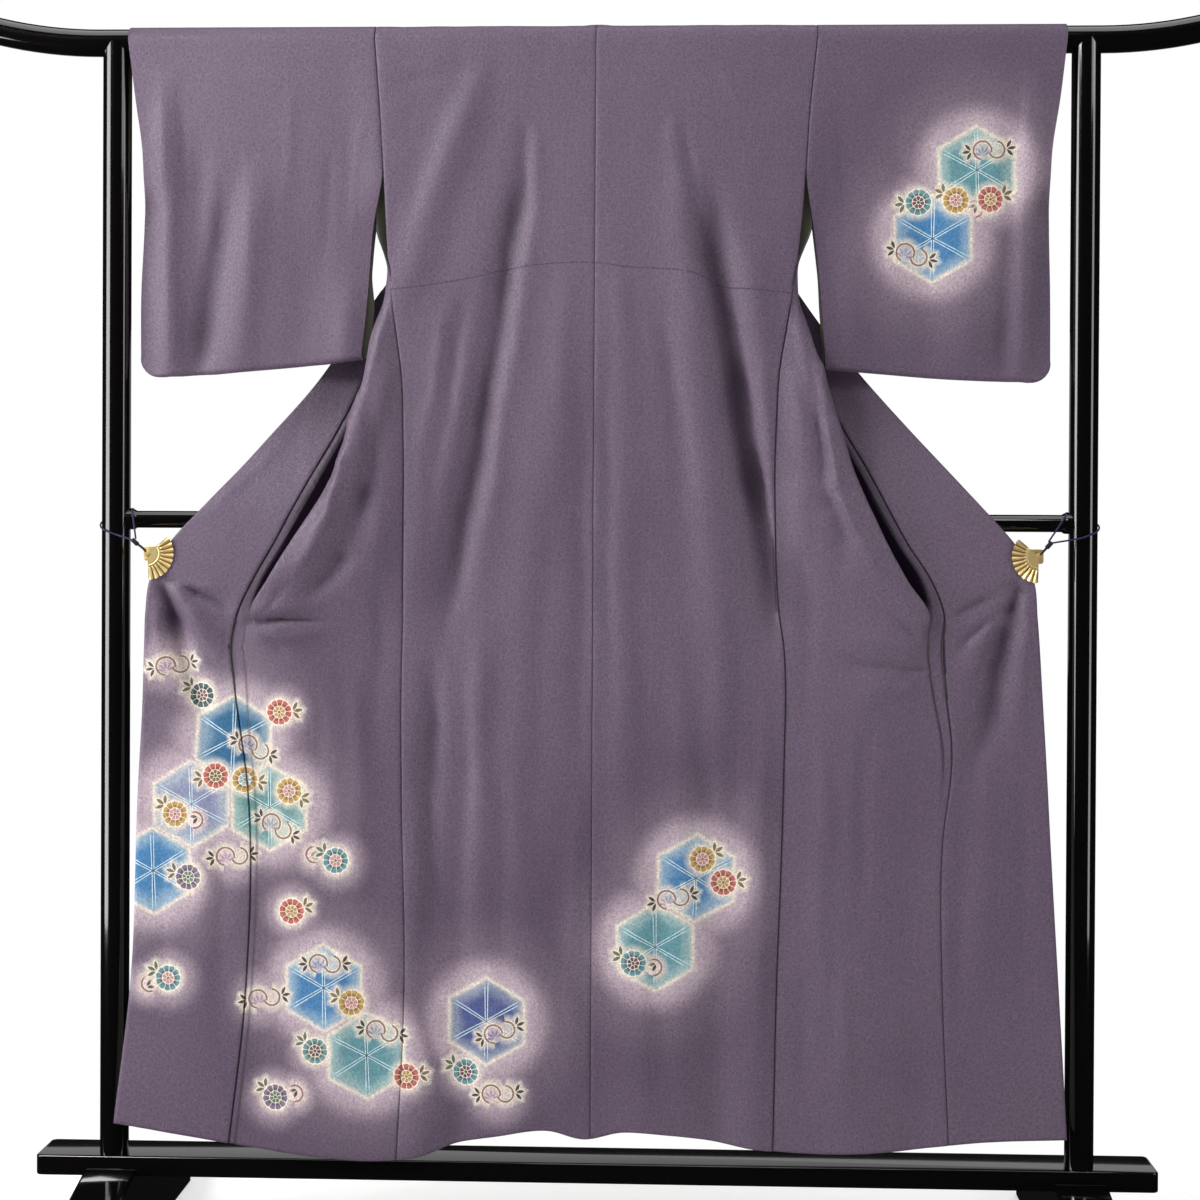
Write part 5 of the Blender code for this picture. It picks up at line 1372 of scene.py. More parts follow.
def solid(name, shape, finish, smooth_below=40.0):
    """An object from a closed bmesh, with its normals turned out."""
    bmesh.ops.recalc_face_normals(shape, faces=shape.faces)
    mesh = mesh_of(name, shape)
    mesh.shade_smooth()
    mesh.set_sharp_from_angle(angle=math.radians(smooth_below))
    mesh.materials.append(finish)
    return new_object(name, mesh)


def tie_knot(side, finish):
    """Turns of cord beside each other, and the stem that runs from them to the clip."""
    knot = TIE_SPOT[side]
    x, z = FAN_PIVOT[side]
    hub = Vector((side_sign(side) * x, node_middle("fan_" + side).y, z))
    along = (hub - knot).normalized()
    turn = Vector((0, 0, 1)).rotation_difference(along).to_matrix().to_4x4()
    shape = bmesh.new()
    for step in range(KNOT_TURNS):
        place = step - (KNOT_TURNS - 1) / 2
        ring = bmesh.ops.create_circle(shape, segments=10, radius=KNOT_CORD)["verts"]
        edges = list({edge for vert in ring for edge in vert.link_edges})
        quarter_turn(shape, ring, "X")
        bmesh.ops.translate(shape, verts=ring, vec=(KNOT_RADIUS, 0.0, 0.0))
        bmesh.ops.spin(shape, geom=ring + edges, cent=(0, 0, 0), axis=(0, 0, 1),
                       angle=2 * math.pi, steps=20, use_merge=True)
        fresh = [vert for vert in shape.verts if not vert.tag]
        tilt = Matrix.Rotation(math.radians(KNOT_TILT * place), 4, "X")
        lift = Matrix.Translation(Vector((0, 0, KNOT_STEP * place)))
        bmesh.ops.transform(shape, matrix=lift @ tilt, verts=fresh)
        for vert in fresh:
            vert.tag = True
    bmesh.ops.transform(shape, matrix=Matrix.Translation(knot) @ turn, verts=shape.verts)
    tie = solid("knot_" + side, shape, finish)
    stand_for(tie, "tie_" + side)
    start, end = knot + along * TIE_RADIUS * 0.8, hub - along * SEAM_GAP
    middle = start.lerp(end, 0.5) + Vector((0.0006, 0.0, 0.0008))
    stem = wire("stem_loop_" + side, smooth_path([start, middle, end], 6), STEM_RADIUS, finish)
    stand_for(stem, "stem_" + side)


class KIMONO_OT_tie_cords(bpy.types.Operator):
    """Tie each clip's cord round the post and over the middle rail, with its knot"""

    bl_idname = "kimono.tie_cords"
    bl_label = "Tie Cords"

    def execute(self, context):
        finish = finish_of("Navy cord", cord_material)
        for side in SIDES:
            loop = wire("cord_loop_" + side, smooth_path(cord_route(side), 5), CORD_RADIUS, finish)
            stand_for(loop, "cord_" + side)
            tie_knot(side, finish_of("Dark cord", stem_material))
        return {"FINISHED"}


def everything(shape):
    return [*shape.verts, *shape.edges, *shape.faces]


def quarter_turn(shape, verts, axis):
    bmesh.ops.rotate(shape, verts=verts, cent=(0, 0, 0), matrix=Matrix.Rotation(math.radians(90), 3, axis))


def ease(shape, edges, offset, segments):
    bmesh.ops.bevel(shape, geom=edges, offset=offset, segments=segments, profile=0.5, affect="EDGES",
                    material=-1)


def round_bar(shape, middle, radius, length, sides, about=None, taper=1.0):
    """Adds a round bar that stands along Z, or is turned a quarter about another axis."""
    bar = bmesh.ops.create_cone(shape, cap_ends=True, segments=sides, radius1=radius,
                                radius2=radius * taper, depth=length)["verts"]
    if about:
        quarter_turn(shape, bar, about)
    bmesh.ops.translate(shape, verts=bar, vec=middle)


def eased_block(low, high, axis, corner, rim, rim_segments):
    """A block rounded at the corners along one axis, with its other edges eased."""
    shape = bmesh.new()
    bmesh.ops.create_cube(shape, size=1.0)
    bmesh.ops.scale(shape, vec=high - low, verts=shape.verts)
    bmesh.ops.translate(shape, vec=(low + high) / 2, verts=shape.verts)
    corners = [edge for edge in shape.edges
               if abs(edge.verts[0].co[axis] - edge.verts[1].co[axis]) > 1e-4]
    ease(shape, corners, corner, 6)
    rims = [edge for edge in shape.edges if edge.calc_face_angle(0.0) > math.radians(60)]
    ease(shape, rims, rim, rim_segments)
    return shape


def end_rings(shape, low, high, axis):
    """The verts at either end of a bar along an axis."""
    return ([vert for vert in shape.verts if vert.co[axis] < low + 1e-5],
            [vert for vert in shape.verts if vert.co[axis] > high - 1e-5])


def slice_caps(shape, half, count):
    """Cuts a bar along planes of equal Y, so that its end caps can follow a round neighbour."""
    for step in range(1, count):
        plane = RAIL_Y + half * (2 * step / count - 1)
        bmesh.ops.bisect_plane(shape, geom=everything(shape), plane_co=(0, plane, 0), plane_no=(0, 1, 0))


def turn_top_rail(finish, sides):
    """A straight bar whose ends are spun upward about centres above the rail."""
    sweep = math.asin((RAIL_HALF - RAIL_STRAIGHT) / RAIL_SWEEP_RADIUS)
    shape = bmesh.new()
    ring = bmesh.ops.create_circle(shape, segments=sides, radius=RAIL_RADIUS)["verts"]
    quarter_turn(shape, ring, "Y")
    bmesh.ops.translate(shape, verts=ring, vec=(-RAIL_STRAIGHT, RAIL_Y, RAIL_Z))
    start = list(shape.edges)
    grown = bmesh.ops.extrude_edge_only(shape, edges=start)["geom"]
    far = [item for item in grown if isinstance(item, bmesh.types.BMVert)]
    bmesh.ops.translate(shape, verts=far, vec=(2 * RAIL_STRAIGHT, 0, 0))
    far_edges = [edge for edge in shape.edges if all(vert in far for vert in edge.verts)]
    for edges, x, turn in ((start, -RAIL_STRAIGHT, sweep), (far_edges, RAIL_STRAIGHT, -sweep)):
        spun = bmesh.ops.spin(shape, geom=edges, cent=(x, RAIL_Y, RAIL_Z + RAIL_SWEEP_RADIUS),
                              axis=(0, 1, 0), angle=turn, steps=14, use_merge=False)
        last = [item for item in spun["geom_last"] if isinstance(item, bmesh.types.BMEdge)]
        cap = bmesh.ops.edgeloop_fill(shape, edges=last)["faces"]
        ease(shape, list(cap[0].edges), 0.002, 3)
    stand_for(solid("rail", shape, finish), "top_rail")


def turn_post(side, finish, sides):
    """The post's head is hollowed to seat the rail."""
    low, high = BOARD_HIGH.z + GAP, RAIL_Z
    shape = bmesh.new()
    middle = (side_sign(side) * POST_X, RAIL_Y, (low + high) / 2)
    round_bar(shape, middle, POST_RADIUS, high - low, sides)
    slice_caps(shape, POST_RADIUS, 15)
    seat = RAIL_RADIUS + GAP
    for vert in end_rings(shape, low, high, 2)[1]:
        across = vert.co.y - RAIL_Y
        vert.co.z = RAIL_Z - math.sqrt(max(seat * seat - across * across, 0.0))
    stand_for(solid("upright_" + side, shape, finish), "post_" + side)


def turn_mid_rail(finish, sides):
    """The middle rail meets each post in a small collar that follows the post's round."""
    shape = bmesh.new()
    reach = POST_X - POST_RADIUS
    round_bar(shape, (0, RAIL_Y, MID_RAIL_Z), MID_RAIL_RADIUS, 2 * POST_X, sides, "Y")
    for inset in (0.012, 0.0095, 0.0075, 0.0055, 0.0030):
        for sign in (-1, 1):
            bmesh.ops.bisect_plane(shape, geom=everything(shape), plane_co=(sign * (reach - inset), 0, 0),
                                   plane_no=(1, 0, 0))
    slice_caps(shape, MID_RAIL_RADIUS, 9)
    for vert in shape.verts:
        flare = 1.0 + 0.20 * float(smooth_step(reach - 0.010, reach - 0.006, abs(vert.co.x)))
        vert.co.y = RAIL_Y + (vert.co.y - RAIL_Y) * flare
        vert.co.z = MID_RAIL_Z + (vert.co.z - MID_RAIL_Z) * flare
    seat = POST_RADIUS + GAP
    low, high = end_rings(shape, -POST_X, POST_X, 0)
    for ring, sign in ((low, -1), (high, 1)):
        for vert in ring:
            across = vert.co.y - RAIL_Y
            vert.co.x = sign * (POST_X - math.sqrt(seat * seat - across * across))
    stand_for(solid("middle_rail", shape, finish), "mid_rail")


def shape_foot(side, finish):
    """A block that slopes down to both ends, with the board let into its crown."""
    low, high = node_box("foot_" + side)
    half, peak, end = high.y, FOOT_PEAK, FOOT_END
    notch = BOARD_HIGH.y + GAP
    slope = (peak - end) / half
    seat = BOARD_LOW.z - GAP
    profile = [(half, 0.0), (half, end), (notch, peak - slope * notch), (notch, seat)]
    outline = profile + [(-y, z) for y, z in reversed(profile)]
    shape = bmesh.new()
    face = shape.faces.new([shape.verts.new((low.x, y, z)) for y, z in outline])
    grown = bmesh.ops.extrude_face_region(shape, geom=[face])["geom"]
    far = [item for item in grown if isinstance(item, bmesh.types.BMVert)]
    bmesh.ops.translate(shape, vec=(high.x - low.x, 0, 0), verts=far)
    rims = []
    for edge in shape.edges:
        foot = min(vert.co.z for vert in edge.verts)
        near, away = sorted(abs(vert.co.y) for vert in edge.verts)
        outer = foot > end / 2 and near >= notch - 1e-6 and away > notch + 1e-6
        crown = foot > seat + 1e-4 and away < notch + 1e-6
        if outer or crown:
            rims.append(edge)
    ease(shape, rims, 0.0045, 4)
    stand_for(solid("foot_block_" + side, shape, finish), "foot_" + side)


class KIMONO_OT_turn_rack(bpy.types.Operator):
    """Turn the rack's rails and posts, and shape its board and feet"""

    bl_idname = "kimono.turn_rack"
    bl_label = "Turn Rack"

    def execute(self, context):
        finish = finish_of("Black lacquer", lacquer_material)
        sides = context.scene.rack_settings.sides
        turn_top_rail(finish, sides)
        turn_mid_rail(finish, sides)
        stand_for(solid("board", eased_block(BOARD_LOW, BOARD_HIGH, 2, 0.009, 0.0022, 3), finish),
                  "base_board")
        for side in SIDES:
            turn_post(side, finish, sides)
            shape_foot(side, finish)
        return {"FINISHED"}


def clear_of_rail(points):
    """Keeps the cloth on the rail from sinking into it."""
    away = np.hypot(points[..., 1] - RAIL_Y, points[..., 2] - RAIL_Z)
    least = RAIL_RADIUS + 0.0010
    short = (points[..., 2] > RAIL_Z) & (away < least)
    scale = np.where(short, least / np.maximum(away, 1e-6), 1.0)
    points[..., 1] = RAIL_Y + (points[..., 1] - RAIL_Y) * scale
    points[..., 2] = np.where(short, RAIL_Z + (points[..., 2] - RAIL_Z) * scale, points[..., 2])
    return points


class KIMONO_OT_hang_back(bpy.types.Operator):
    """Hang the two halves of the back over the rail"""

    bl_idname = "kimono.hang_back"
    bl_label = "Hang Back"

    def execute(self, context):
        drops = falls(HEM_BASE)
        out, z = over_rail(drops)
        table_z = np.minimum(z, RAIL_Z)
        lines = grid_lines(0.29, True, True)
        for side in SIDES:
            sign = side_sign(side)
            start = CENTRE_X + sign * SEAM_GAP / 2
            end = sign * (front_value(side, "side_x", table_z) - SEAM_GAP / 2)
            x = start + (end[:, None] - start) * lines[None, :]
            rows_z = np.broadcast_to(z[:, None], x.shape)
            y = np.where(rows_z > RAIL_Z - 1e-6, RAIL_Y - out[:, None], back_y(x, rows_z))
            y[0] -= RIDGE_GAP / 2
            points = stacked(x, y, hem_height(x, rows_z))
            points, near = dressed(points, sign, BACK_CREASES, (True, True), 3.0)
            points = clear_of_rail(points)
            near = stitched(near)
            if side == "left":
                points, near = tucked_under(points, near, 0)
            piece = woven("back_panel_" + side, points, sign, near, cloth_finishes(True, True), dyed=True)
            stand_for(piece, "back_" + side)
        return {"FINISHED"}


def spread_front(side):
    """A front: its slack toward the side, the set-back strip beside the overlap's seam, and its shadows."""
    sign = side_sign(side)
    out, z = over_rail(falls(HEM_BASE))
    table_z = np.minimum(z, RAIL_Z)
    slack, rise, fall, strip = FRONT_SPANS
    lines = (grid_lines(slack, True), grid_lines(rise), grid_lines(fall),
             grid_lines(strip, False, True, FINE_CELL))
    section = front_sections(side, table_z, lines)
    x, y = sign * section[..., 0], section[..., 1].copy()
    inward = unit(section[:, -2] - section[:, -1])
    x[:, -1] += sign * inward[:, 0] * BEYOND_SEAM
    y[:, -1] += inward[:, 1] * BEYOND_SEAM
    rows_z = np.broadcast_to(z[:, None], x.shape)
    free = smooth_step(*UNDERARM_OPEN, rows_z) * smooth_step(*UNDERARM_SHUT, rows_z)
    x = x + sign * UNDERARM_FLARE * free * smooth_step(0.05, 0.0, np.abs(x - x[:, :1]))
    y = np.where(rows_z > RAIL_Z, RAIL_Y + out[:, None], y)
    y[0] += RIDGE_GAP / 2
    points = stacked(x, y, hem_height(x, rows_z))
    points, near = dressed(points, sign, FRONT_CREASES[side], (True, True), 11.0)
    normals = outward_normals(points, sign)
    from_seam = arc_lengths(points[:, ::-1], 1)[:, ::-1]
    width = smooth_value(STRIP_ROWS[side], STRIP_COLUMNS, "width", rows_z)
    reach = smooth_step(STRIP_TOP, STRIP_TOP - 0.06, rows_z)
    kept = reach * smooth_step(*STRIP_FOOT[side], rows_z)
    pressed = smooth_step(width + STRIP_STEP, width - 0.0004, from_seam) * kept
    points = points - normals * (pressed * STRIP_DEPTH)[..., None]
    # Painted shadow along the step down to the pressed strip.
    step_shade = np.exp(-(((from_seam - width - 0.0008) / STRIP_LINE) ** 2)) * kept
    valley = sum(len(part) - 1 for part in lines[:3])
    behind_ridge = np.arange(points.shape[1])[None, :] > valley - len(lines[2]) // 3
    # Painted shade: nearly black in the recess behind the outer ridge, lighter on the strip itself.
    recess = smooth_step(RECESS_FOOT, RECESS_FOOT + 0.03, rows_z) * smooth_step(*RECESS_TOP, rows_z)
    recess = recess * behind_ridge * (0.26 + 0.74 * smooth_step(width - 0.001, width + 0.004, from_seam))
    # The sleeve's painted shadow on the front.
    recess = np.maximum(recess, sleeve_shade(side, rows_z) * behind_ridge)
    hollow_shade = np.maximum(hollows(points), recess)
    near = np.maximum(stitched(near), 0.90 * step_shade)
    count = points.shape[1]
    outer = front_knots(side, table_z)
    along = outer[:, 5] - outer[:, 4]
    along = stacked(sign * along[:, 0], along[:, 1], 0 * table_z)
    sewn = (table_z < OVERLAP_TOP)[:, None]
    along = np.where(sewn, along, points[:, -1] - points[:, -1 - RUN])
    points, near = tucked_under(points, near, 0, behind=0.0)
    points, near = tucked_under(points, near, -1, along)
    hollow_shade = np.pad(hollow_shade, ((0, 0), (1, points.shape[1] - count - 1)), mode="edge")
    dyed = side == "left"
    piece = woven("front_panel_" + side, points, sign, near, cloth_finishes(dyed), dyed=dyed, hollow_shade=hollow_shade)
    stand_for(piece, "front_" + side)


def spread_overlap(side):
    """The overlap carries the front's section on, outward of the seam."""
    sign = side_sign(side)
    z = over_rail(falls(HEM_BASE))[1]
    z = z[z < OVERLAP_TOP]
    knots = front_knots(side, z)
    lines = grid_lines(0.145, True, False)
    section = curve_through(knots, [np.array([0.0, 1.0])] * 4 + [lines])[:, 4:]
    section[:, 0] += unit(section[:, 1] - section[:, 0]) * BEYOND_SEAM
    x, y = sign * section[..., 0], section[..., 1]
    rows_z = np.broadcast_to(z[:, None], x.shape)
    points = stacked(x, y, hem_height(x, rows_z))
    points, near = dressed(points, sign, OVERLAP_CREASES[side], (True, False), 17.0, 0.016)
    dyed = side == "left"
    # Painted shade in the folds, and the sleeve's painted shadow.
    hollow_shade = np.maximum(hollows(points), sleeve_shade(side, rows_z))
    piece = woven("overlap_panel_" + side, points, sign, stitched(near), cloth_finishes(dyed), dyed=dyed,
                  hollow_shade=hollow_shade)
    stand_for(piece, "overlap_" + side)


class KIMONO_OT_spread_fronts(bpy.types.Operator):
    """Spread the fronts and their overlaps to the sides"""

    bl_idname = "kimono.spread_fronts"
    bl_label = "Spread Fronts"

    def execute(self, context):
        for side in SIDES:
            spread_front(side)
            spread_overlap(side)
        return {"FINISHED"}


def lapel_levels(side, heights):
    """Y of the folded-over front behind the collar, for each height, over a range of outward x."""
    spots = np.linspace(0.0, 0.70, 281)
    lines = [np.array([0.0, 1.0])] * 3 + [np.linspace(0, 1, 9), np.linspace(0, 1, 13)]
    rows = []
    for z in heights:
        knots = front_knots(side, np.array([z]))
        last = 5 if z > OVERLAP_TOP else 6
        section = curve_through(knots[:, :last], lines[: last - 1])[0, 3:]
        order = np.argsort(section[:, 0])
        level = np.interp(spots, section[order, 0], section[order, 1])
        rows.append(level + (section[:, 1].max() - level) * smooth_step(LAPEL_TURN - 0.06, LAPEL_TURN, z))
    return spots, np.array(rows)


def collar_points(side):
    """Rows run across the collar, columns from the middle of the neck, over the rail, down to its foot."""
    sign = side_sign(side)
    heights = np.linspace(COLLAR_FOOT - 0.064, RAIL_Z, 180)
    spots, levels = lapel_levels(side, heights)
    neck, length, across = COLLAR_CELLS
    part = np.linspace(0.0, 1.0, neck + 1)[:-1]
    turn = np.radians(NECK_ANGLE) * (1 - part ** 2)
    fall = np.linspace(RAIL_Z, COLLAR_FOOT, length)
    line_x = np.concatenate([NECK_HALF * part, front_value(side, "edge_x", fall)])
    line_z = np.concatenate([RAIL_Z + COLLAR_OVER_RAIL * np.sin(turn), fall])
    along = unit(np.gradient(stacked(line_x, line_z), axis=0))
    inward = stacked(along[:, 1], -along[:, 0])
    index = np.arange(len(line_x)) - neck
    eased = smooth_step(38, 0, index)[:, None]
    inward = unit(inward * (1 - eased) + np.array([0.0, -1.0]) * eased)
    points = np.zeros((len(line_x), across + 1, 3))
    for column in range(across + 1):
        share = column / across
        inset = inward * COLLAR_WIDTH * share
        x, z = line_x + inset[:, 0], line_z + inset[:, 1]
        seated = COLLAR_SEATED * (1 - share) * smooth_step(LAPEL_TURN, LAPEL_TURN - 0.15, line_z)
        row = np.clip(np.searchsorted(heights, np.minimum(z, RAIL_Z)), 1, len(heights) - 1)
        blend = np.clip((np.minimum(z, RAIL_Z) - heights[row - 1]) / (heights[row] - heights[row - 1]), 0, 1)
        spot = np.clip(x / (spots[1] - spots[0]), 0, len(spots) - 2)
        cell = spot.astype(int)
        slide = spot - cell
        level = ((levels[row - 1, cell] * (1 - slide) + levels[row - 1, cell + 1] * slide) * (1 - blend)
                 + (levels[row, cell] * (1 - slide) + levels[row, cell + 1] * slide) * blend)
        y = level + COLLAR_OFFSET - seated
        y = np.where(line_z > 1.6, np.maximum(y, RAIL_Y + COLLAR_OVER_RAIL), y)
        drop = (math.pi / 2 - turn) * COLLAR_OVER_RAIL + COLLAR_WIDTH * share
        out, neck_z = over_rail(drop, COLLAR_OVER_RAIL)
        y[:neck], z[:neck], x[:neck] = RAIL_Y + out, neck_z, line_x[:neck]
        points[:, column] = stacked(sign * x, y, z)
    points[0, :, 0] = sign * SEAM_GAP / 2
    points[..., 1] += soft_noise(points, 18.0, seed=29.0) * 0.0004
    return points.transpose(1, 0, 2)


class KIMONO_OT_fold_collar(bpy.types.Operator):
    """Fold the collar's halves behind the fronts and round the neck"""

    bl_idname = "kimono.fold_collar"
    bl_label = "Fold Collar"

    def execute(self, context):
        for side in SIDES:
            points = collar_points(side)
            piece = woven("collar_half_" + side, points, -side_sign(side), np.zeros(points.shape[:2]),
                          cloth_finishes(), COLLAR_WALL)
            stand_for(piece, "collar_" + side)
        return {"FINISHED"}


def sleeve_points(side):
    """Rows run round the sleeve: down the near layer, round its foot, up the far layer, over the rail."""
    sign = side_sign(side)
    cell = bpy.context.scene.kimono_settings.cell
    part = grid_lines(0.33, True, True)[None, :]
    down = np.linspace(0.0, 1.0, round(0.46 / cell) + 1)[:, None]

    def width_at(name, z):
        return smooth_value(SLEEVE_ROWS[side], SLEEVE_COLUMNS, name, np.minimum(z, RAIL_Z))

    def foot_height(x):
        return smooth_value(SLEEVE_FOOT_ROWS[side], SLEEVE_FOOT_COLUMNS, "z", x)

    def outward(z):
        inner = np.where(z < ARMHOLE_FOOT, width_at("inner_x", z),
                         front_value(side, "side_x", np.minimum(z, RAIL_Z))) + ARMHOLE_GAP
        return inner + (width_at("outer_x", z) - inner) * part

    def layers(x, z):
        fall = (RAIL_Z - z) / (RAIL_Z - foot_height(x))
        half = OVER_RAIL + (SLEEVE_FOLD_RADIUS - OVER_RAIL) * fall
        reach = width_at("outer_x", z) - x
        closing = smooth_step(CUFF_FOOT + 0.03, CUFF_FOOT - 0.03, z)
        closing = closing * smooth_step(SLEEVE_CLOSING, 0.0, reach)
        half = half + (SLEEVE_END_GAP / 2 - half) * closing
        wave = ripple(SLEEVE_FOLDS[side], sign * x, z)
        near, far = RAIL_Y - half - wave, RAIL_Y + half - wave * 0.6
        sewn = smooth_step(0.05, 0.0, part * 0.34) * smooth_step(ARMHOLE_FOOT - 0.10, ARMHOLE_FOOT, z)
        near = near + (back_y(sign * x, z) - near) * sewn
        far = far + (far_y(z) - far) * sewn
        fine = creases(SLEEVE_CREASES[side], sign * x, z) * (1 - closing)
        uneven = soft_noise(stacked(sign * x, near, z), 20.0, seed=23.0) * 0.0007 * (1 - closing)
        fade = smooth_step(0.0, 0.03, RAIL_Z - z)
        rolled = SEAM_ROLL * smooth_step(SEAM_ROLL_WIDTH, 0.0, part * 0.33) * (z > ARMHOLE_FOOT)
        return near - (fine + uneven) * fade + rolled, far - (fine * 0.5 - uneven) * fade

    full = np.ones_like(part)
    x = outward(SLEEVE_PLAIN_Z * full)
    inset = np.maximum(SLEEVE_CORNER - (x[:, -1:] - x), 0.0)
    rise = SLEEVE_CORNER - np.sqrt(SLEEVE_CORNER ** 2 - inset ** 2)
    closed = smooth_step(SLEEVE_CLOSING, 0.0, x[:, -1:] - x)
    base = foot_height(x) + rise + SLEEVE_FOLD_RADIUS + (SLEEVE_END_GAP / 2 - SLEEVE_FOLD_RADIUS) * closed
    z = RAIL_Z + (base - RAIL_Z) * down
    x = outward(z)
    near, far = layers(x, z)
    fold = np.linspace(0.0, math.pi, 13)[1:-1, None]
    middle, half = (near[-1] + far[-1]) / 2, (far[-1] - near[-1]) / 2
    low = base - np.minimum(half, SLEEVE_FOLD_RADIUS) * np.sin(fold)
    lapping = SLEEVE_LAP[side] * smooth_step(SLEEVE_LAP_TOP, SLEEVE_LAP_TOP - 0.06, z[::-1])
    far_x = x[::-1] - lapping * (1 - part) ** 7
    crown = np.linspace(0.0, math.pi, 25)[1:, None]
    top_x = outward(RAIL_Z * full)
    rings = [
        (x, near, z),
        (outward(low) - (outward(base) - far_x[0]) * fold / math.pi, middle - half * np.cos(fold), low),
        (far_x, far[::-1], z[::-1]),
        (top_x + 0 * crown, RAIL_Y + OVER_RAIL * np.cos(crown), RAIL_Z + OVER_RAIL * np.sin(crown)),
    ]
    parts = [stacked(sign * a, b + 0 * a, c + 0 * a) for a, b, c in rings]
    points = np.concatenate(parts, axis=0)
    points[-1] = points[0]
    return points


class KIMONO_OT_hang_sleeves(bpy.types.Operator):
    """Hang the sleeves over the rail, open at the cuff and below the armhole"""

    bl_idname = "kimono.hang_sleeves"
    bl_label = "Hang Sleeves"

    def execute(self, context):
        for side in SIDES:
            points = sleeve_points(side)
            near = stitched(seam_roll(points, True, False))
            dyed = side == "right"
            piece = woven("sleeve_bag_" + side, points, side_sign(side), near, cloth_finishes(dyed),
                          dyed=dyed, tube=True)
            stand_for(piece, "sleeve_" + side)
        return {"FINISHED"}


def clip_fan(side, finish, radius):
    """Folded sheet: pleats grow from the hub to a scalloped edge."""
    sign = side_sign(side)
    x, z = FAN_PIVOT[side]
    plane = node_middle("fan_" + side).y
    band, band_width, band_rise = FAN_BAND
    shape = bmesh.new()
    bmesh.ops.create_grid(shape, x_segments=FAN_PLEATS * 10, y_segments=26, size=0.5)
    for vert in shape.verts:
        across, out = vert.co.x + 0.5, vert.co.y + 0.5
        turn = math.radians(FAN_START + (FAN_END - FAN_START) * across)
        fold = abs((across * FAN_PLEATS) % 1.0 - 0.5) * 2
        scallop = 1.0 - FAN_SCALLOP * fold * fold
        reach = FAN_HUB + (radius * scallop - FAN_HUB) * out
        rise = FAN_PLEAT_RISE * float(smooth_step(0.42, 0.56, out)) * (0.5 - fold)
        rise += band_rise * math.exp(-(((out - band) / band_width) ** 2))
        rise += 0.0006 * float(smooth_step(0.36, 0.30, out))
        vert.co = (sign * (x - reach * math.cos(turn)), plane - rise, z + reach * math.sin(turn))
    bmesh.ops.recalc_face_normals(shape, faces=shape.faces)
    bmesh.ops.solidify(shape, geom=everything(shape), thickness=FAN_WALL)
    low = plane - 0.0012
    for height, size in FAN_DISCS:
        round_bar(shape, (sign * x, low - height / 2 + 0.0008, z), size, height, 32, "X", 0.8)
    piece = solid("fan_clip_" + side, shape, finish, 35.0)
    places = np.array([vert.co for vert in piece.data.vertices])
    across, up = x - sign * places[:, 0], places[:, 2] - z
    share = (np.degrees(np.arctan2(up, across)) - FAN_START) / (FAN_END - FAN_START) * FAN_PLEATS
    fold = np.abs(share % 1.0 - 0.5) * 2
    out = smooth_step(0.017, 0.020, np.hypot(across, up))
    # Painted shade in the grooves between the pleats.
    set_attribute(piece.data, "groove", "FLOAT", "POINT", 0.92 * smooth_step(0.54, 0.90, fold) * out)
    stand_for(piece, "fan_" + side)


def clip_jaw(side, finish):
    shape = eased_block(*node_box("jaw_" + side), 1, 0.004, 0.0004, 2)
    stand_for(solid("clip_jaw_" + side, shape, finish), "jaw_" + side)


def clip_pin(side, finish):
    low, high = node_box("pin_" + side)
    shape = bmesh.new()
    round_bar(shape, (low + high) / 2, (high.x - low.x) / 2, high.y - low.y, 24, "X")
    stand_for(solid("clip_pin_" + side, shape, finish), "pin_" + side)


class KIMONO_OT_clip_fans(bpy.types.Operator):
    """Clip the gilt fans on the fronts' edges"""

    bl_idname = "kimono.clip_fans"
    bl_label = "Clip Fans"

    def execute(self, context):
        finish = finish_of("Gilt metal", gilt_material)
        for side in SIDES:
            clip_fan(side, finish, context.scene.clip_settings.fan_radius)
            clip_jaw(side, finish)
            clip_pin(side, finish)
        return {"FINISHED"}


def place_lamp(name, place, target, size, power):
    data = bpy.data.lights.new(name, "AREA")
    data.shape = "RECTANGLE"
    data.size, data.size_y = size
    data.energy = power
    lamp = new_object(name, data)
    aim = Vector(target) - Vector(place)
    lamp.matrix_world = Matrix.Translation(place) @ aim.to_track_quat("-Z", "Y").to_matrix().to_4x4()
    lamp.visible_camera = False


def set_sky(context):
    """White behind the garment, and a dimmer surround for what it lights and what the lacquer mirrors."""
    world = bpy.data.worlds.new("Studio")
    context.scene.world = world
    world.use_nodes = True
    graph = Graph(world.node_tree)
    background = world.node_tree.nodes["Background"]
    path = graph.node("ShaderNodeLightPath")
    dim = graph.mix(path.outputs["Is Glossy Ray"], (0.10, 0.10, 0.10, 1.0), (0.008, 0.008, 0.008, 1.0))
    graph.feed(background.inputs["Color"], graph.mix(path.outputs["Is Camera Ray"], dim, WHITE))


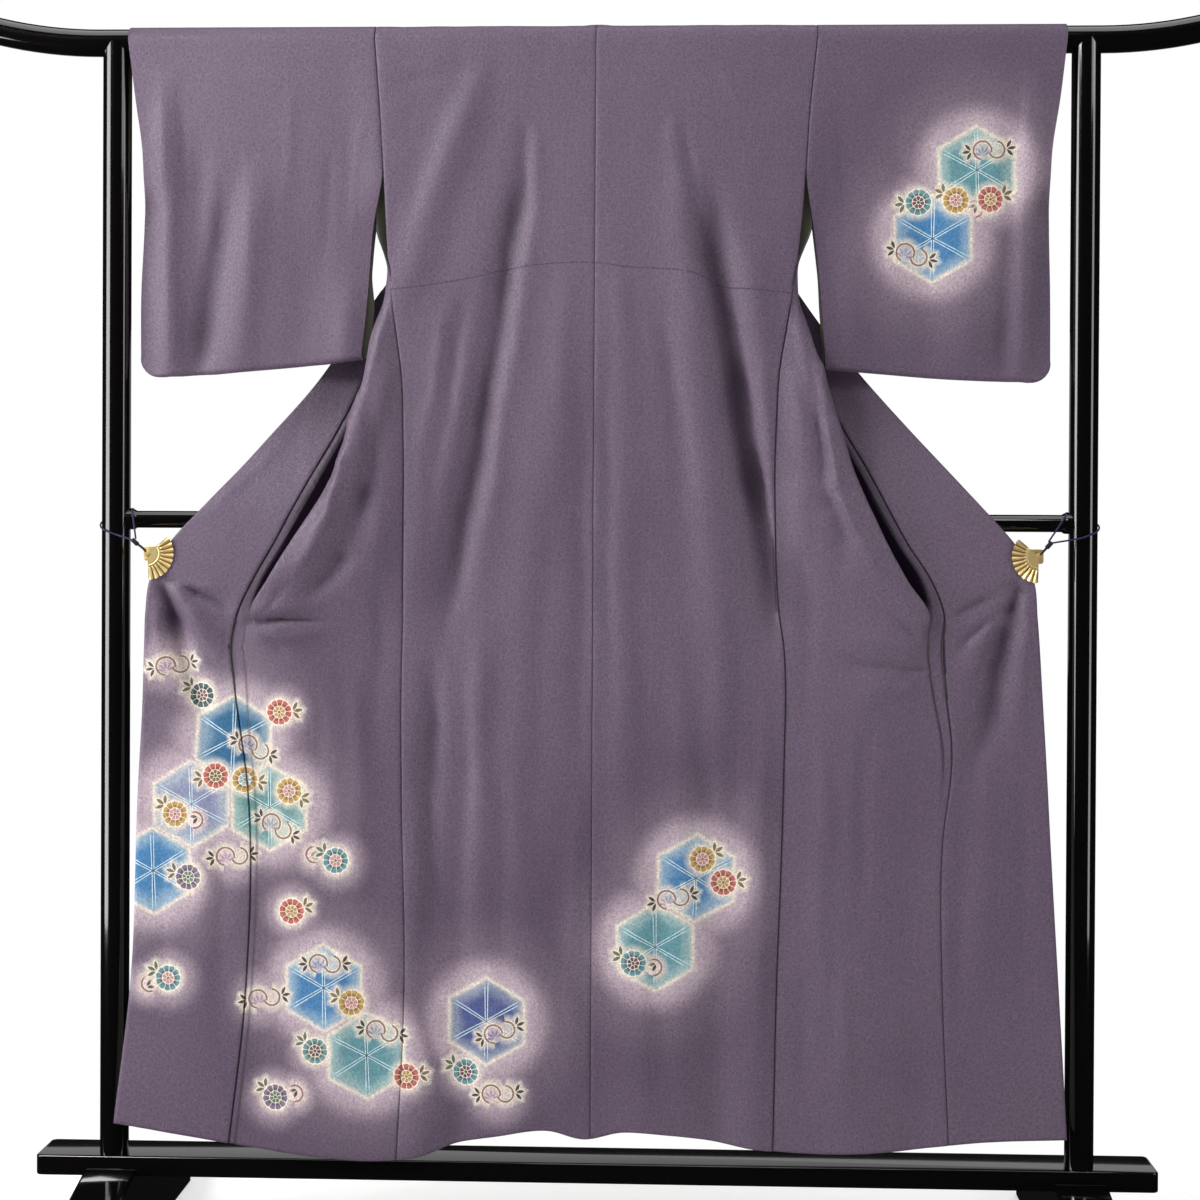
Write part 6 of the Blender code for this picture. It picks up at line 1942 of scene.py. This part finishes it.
class KIMONO_OT_set_stage(bpy.types.Operator):
    """Lay a pale floor and set soft studio lights"""

    bl_idname = "kimono.set_stage"
    bl_label = "Set Stage"

    def execute(self, context):
        settings = context.scene.stage_settings
        shape = bmesh.new()
        bmesh.ops.create_grid(shape, x_segments=2, y_segments=2, size=6.0)
        bmesh.ops.translate(shape, verts=shape.verts, vec=(0, 0, -FLOOR_DROP))
        material, graph, shader = new_material("Pale floor")
        x, y, _ = graph.split(graph.place())
        around = graph.math("SQRT", x * x + y * y * 2.2)
        backdrop = around.above(1.00, 1.55).most(y.above(0.300, 0.335))
        mottle = graph.noise(graph.place(), 3.0) * 0.04
        ground = graph.mix(mottle, settings.floor, (0.80, 0.80, 0.80, 1.0))
        graph.feed(shader.inputs["Base Color"], graph.mix(backdrop, ground, BLACK))
        graph.feed(shader.inputs["Emission Color"], graph.mix(backdrop, FLOOR_GLOW, WHITE))
        shader.inputs["Emission Strength"].default_value = 1.0
        shader.inputs["Roughness"].default_value = 0.85
        shader.inputs["Specular IOR Level"].default_value = 0.1
        mesh = mesh_of("floor", shape)
        mesh.materials.append(material)
        floor = new_object("floor", mesh)
        floor.visible_glossy = False
        for name, place, target, size, power in LAMPS:
            place_lamp(name, place, target, size, power * settings.light)
        bpy.data.objects["behind"].visible_glossy = False
        set_sky(context)
        context.scene.view_settings.view_transform = "Standard"
        return {"FINISHED"}


class KIMONO_PT_pieces(bpy.types.Panel):
    """The garment, its rack and the studio, piece by piece"""

    bl_label = "Kimono"
    bl_space_type = "VIEW_3D"
    bl_region_type = "UI"
    bl_category = "Kimono"

    def draw(self, context):
        layout = self.layout
        for name in PIECES:
            layout.operator("kimono." + name)
        for group in SETTINGS:
            box = layout.box()
            for key in getattr(context.scene, group).bl_rna.properties.keys():
                if key not in {"rna_type", "name"}:
                    box.prop(getattr(context.scene, group), key)


PIECES = ("place_camera", "tie_cords", "turn_rack", "hang_back", "spread_fronts", "fold_collar",
          "hang_sleeves", "clip_fans", "set_stage")
SETTINGS = {"kimono_settings": KimonoSettings, "rack_settings": RackSettings, "clip_settings": ClipSettings,
            "stage_settings": StageSettings}
CLASSES = (*SETTINGS.values(), KIMONO_OT_place_camera, KIMONO_OT_tie_cords, KIMONO_OT_turn_rack,
           KIMONO_OT_hang_back, KIMONO_OT_spread_fronts, KIMONO_OT_fold_collar, KIMONO_OT_hang_sleeves,
           KIMONO_OT_clip_fans, KIMONO_OT_set_stage, KIMONO_PT_pieces)


def register():
    for kind in CLASSES:
        bpy.utils.register_class(kind)
    for name, group in SETTINGS.items():
        setattr(bpy.types.Scene, name, PointerProperty(type=group))


def unregister():
    for name in SETTINGS:
        delattr(bpy.types.Scene, name)
    for kind in reversed(CLASSES):
        bpy.utils.unregister_class(kind)


def main():
    register()
    for name in PIECES:
        getattr(bpy.ops.kimono, name)()
    bpy.context.view_layer.update()


if __name__ == "__main__":
    main()
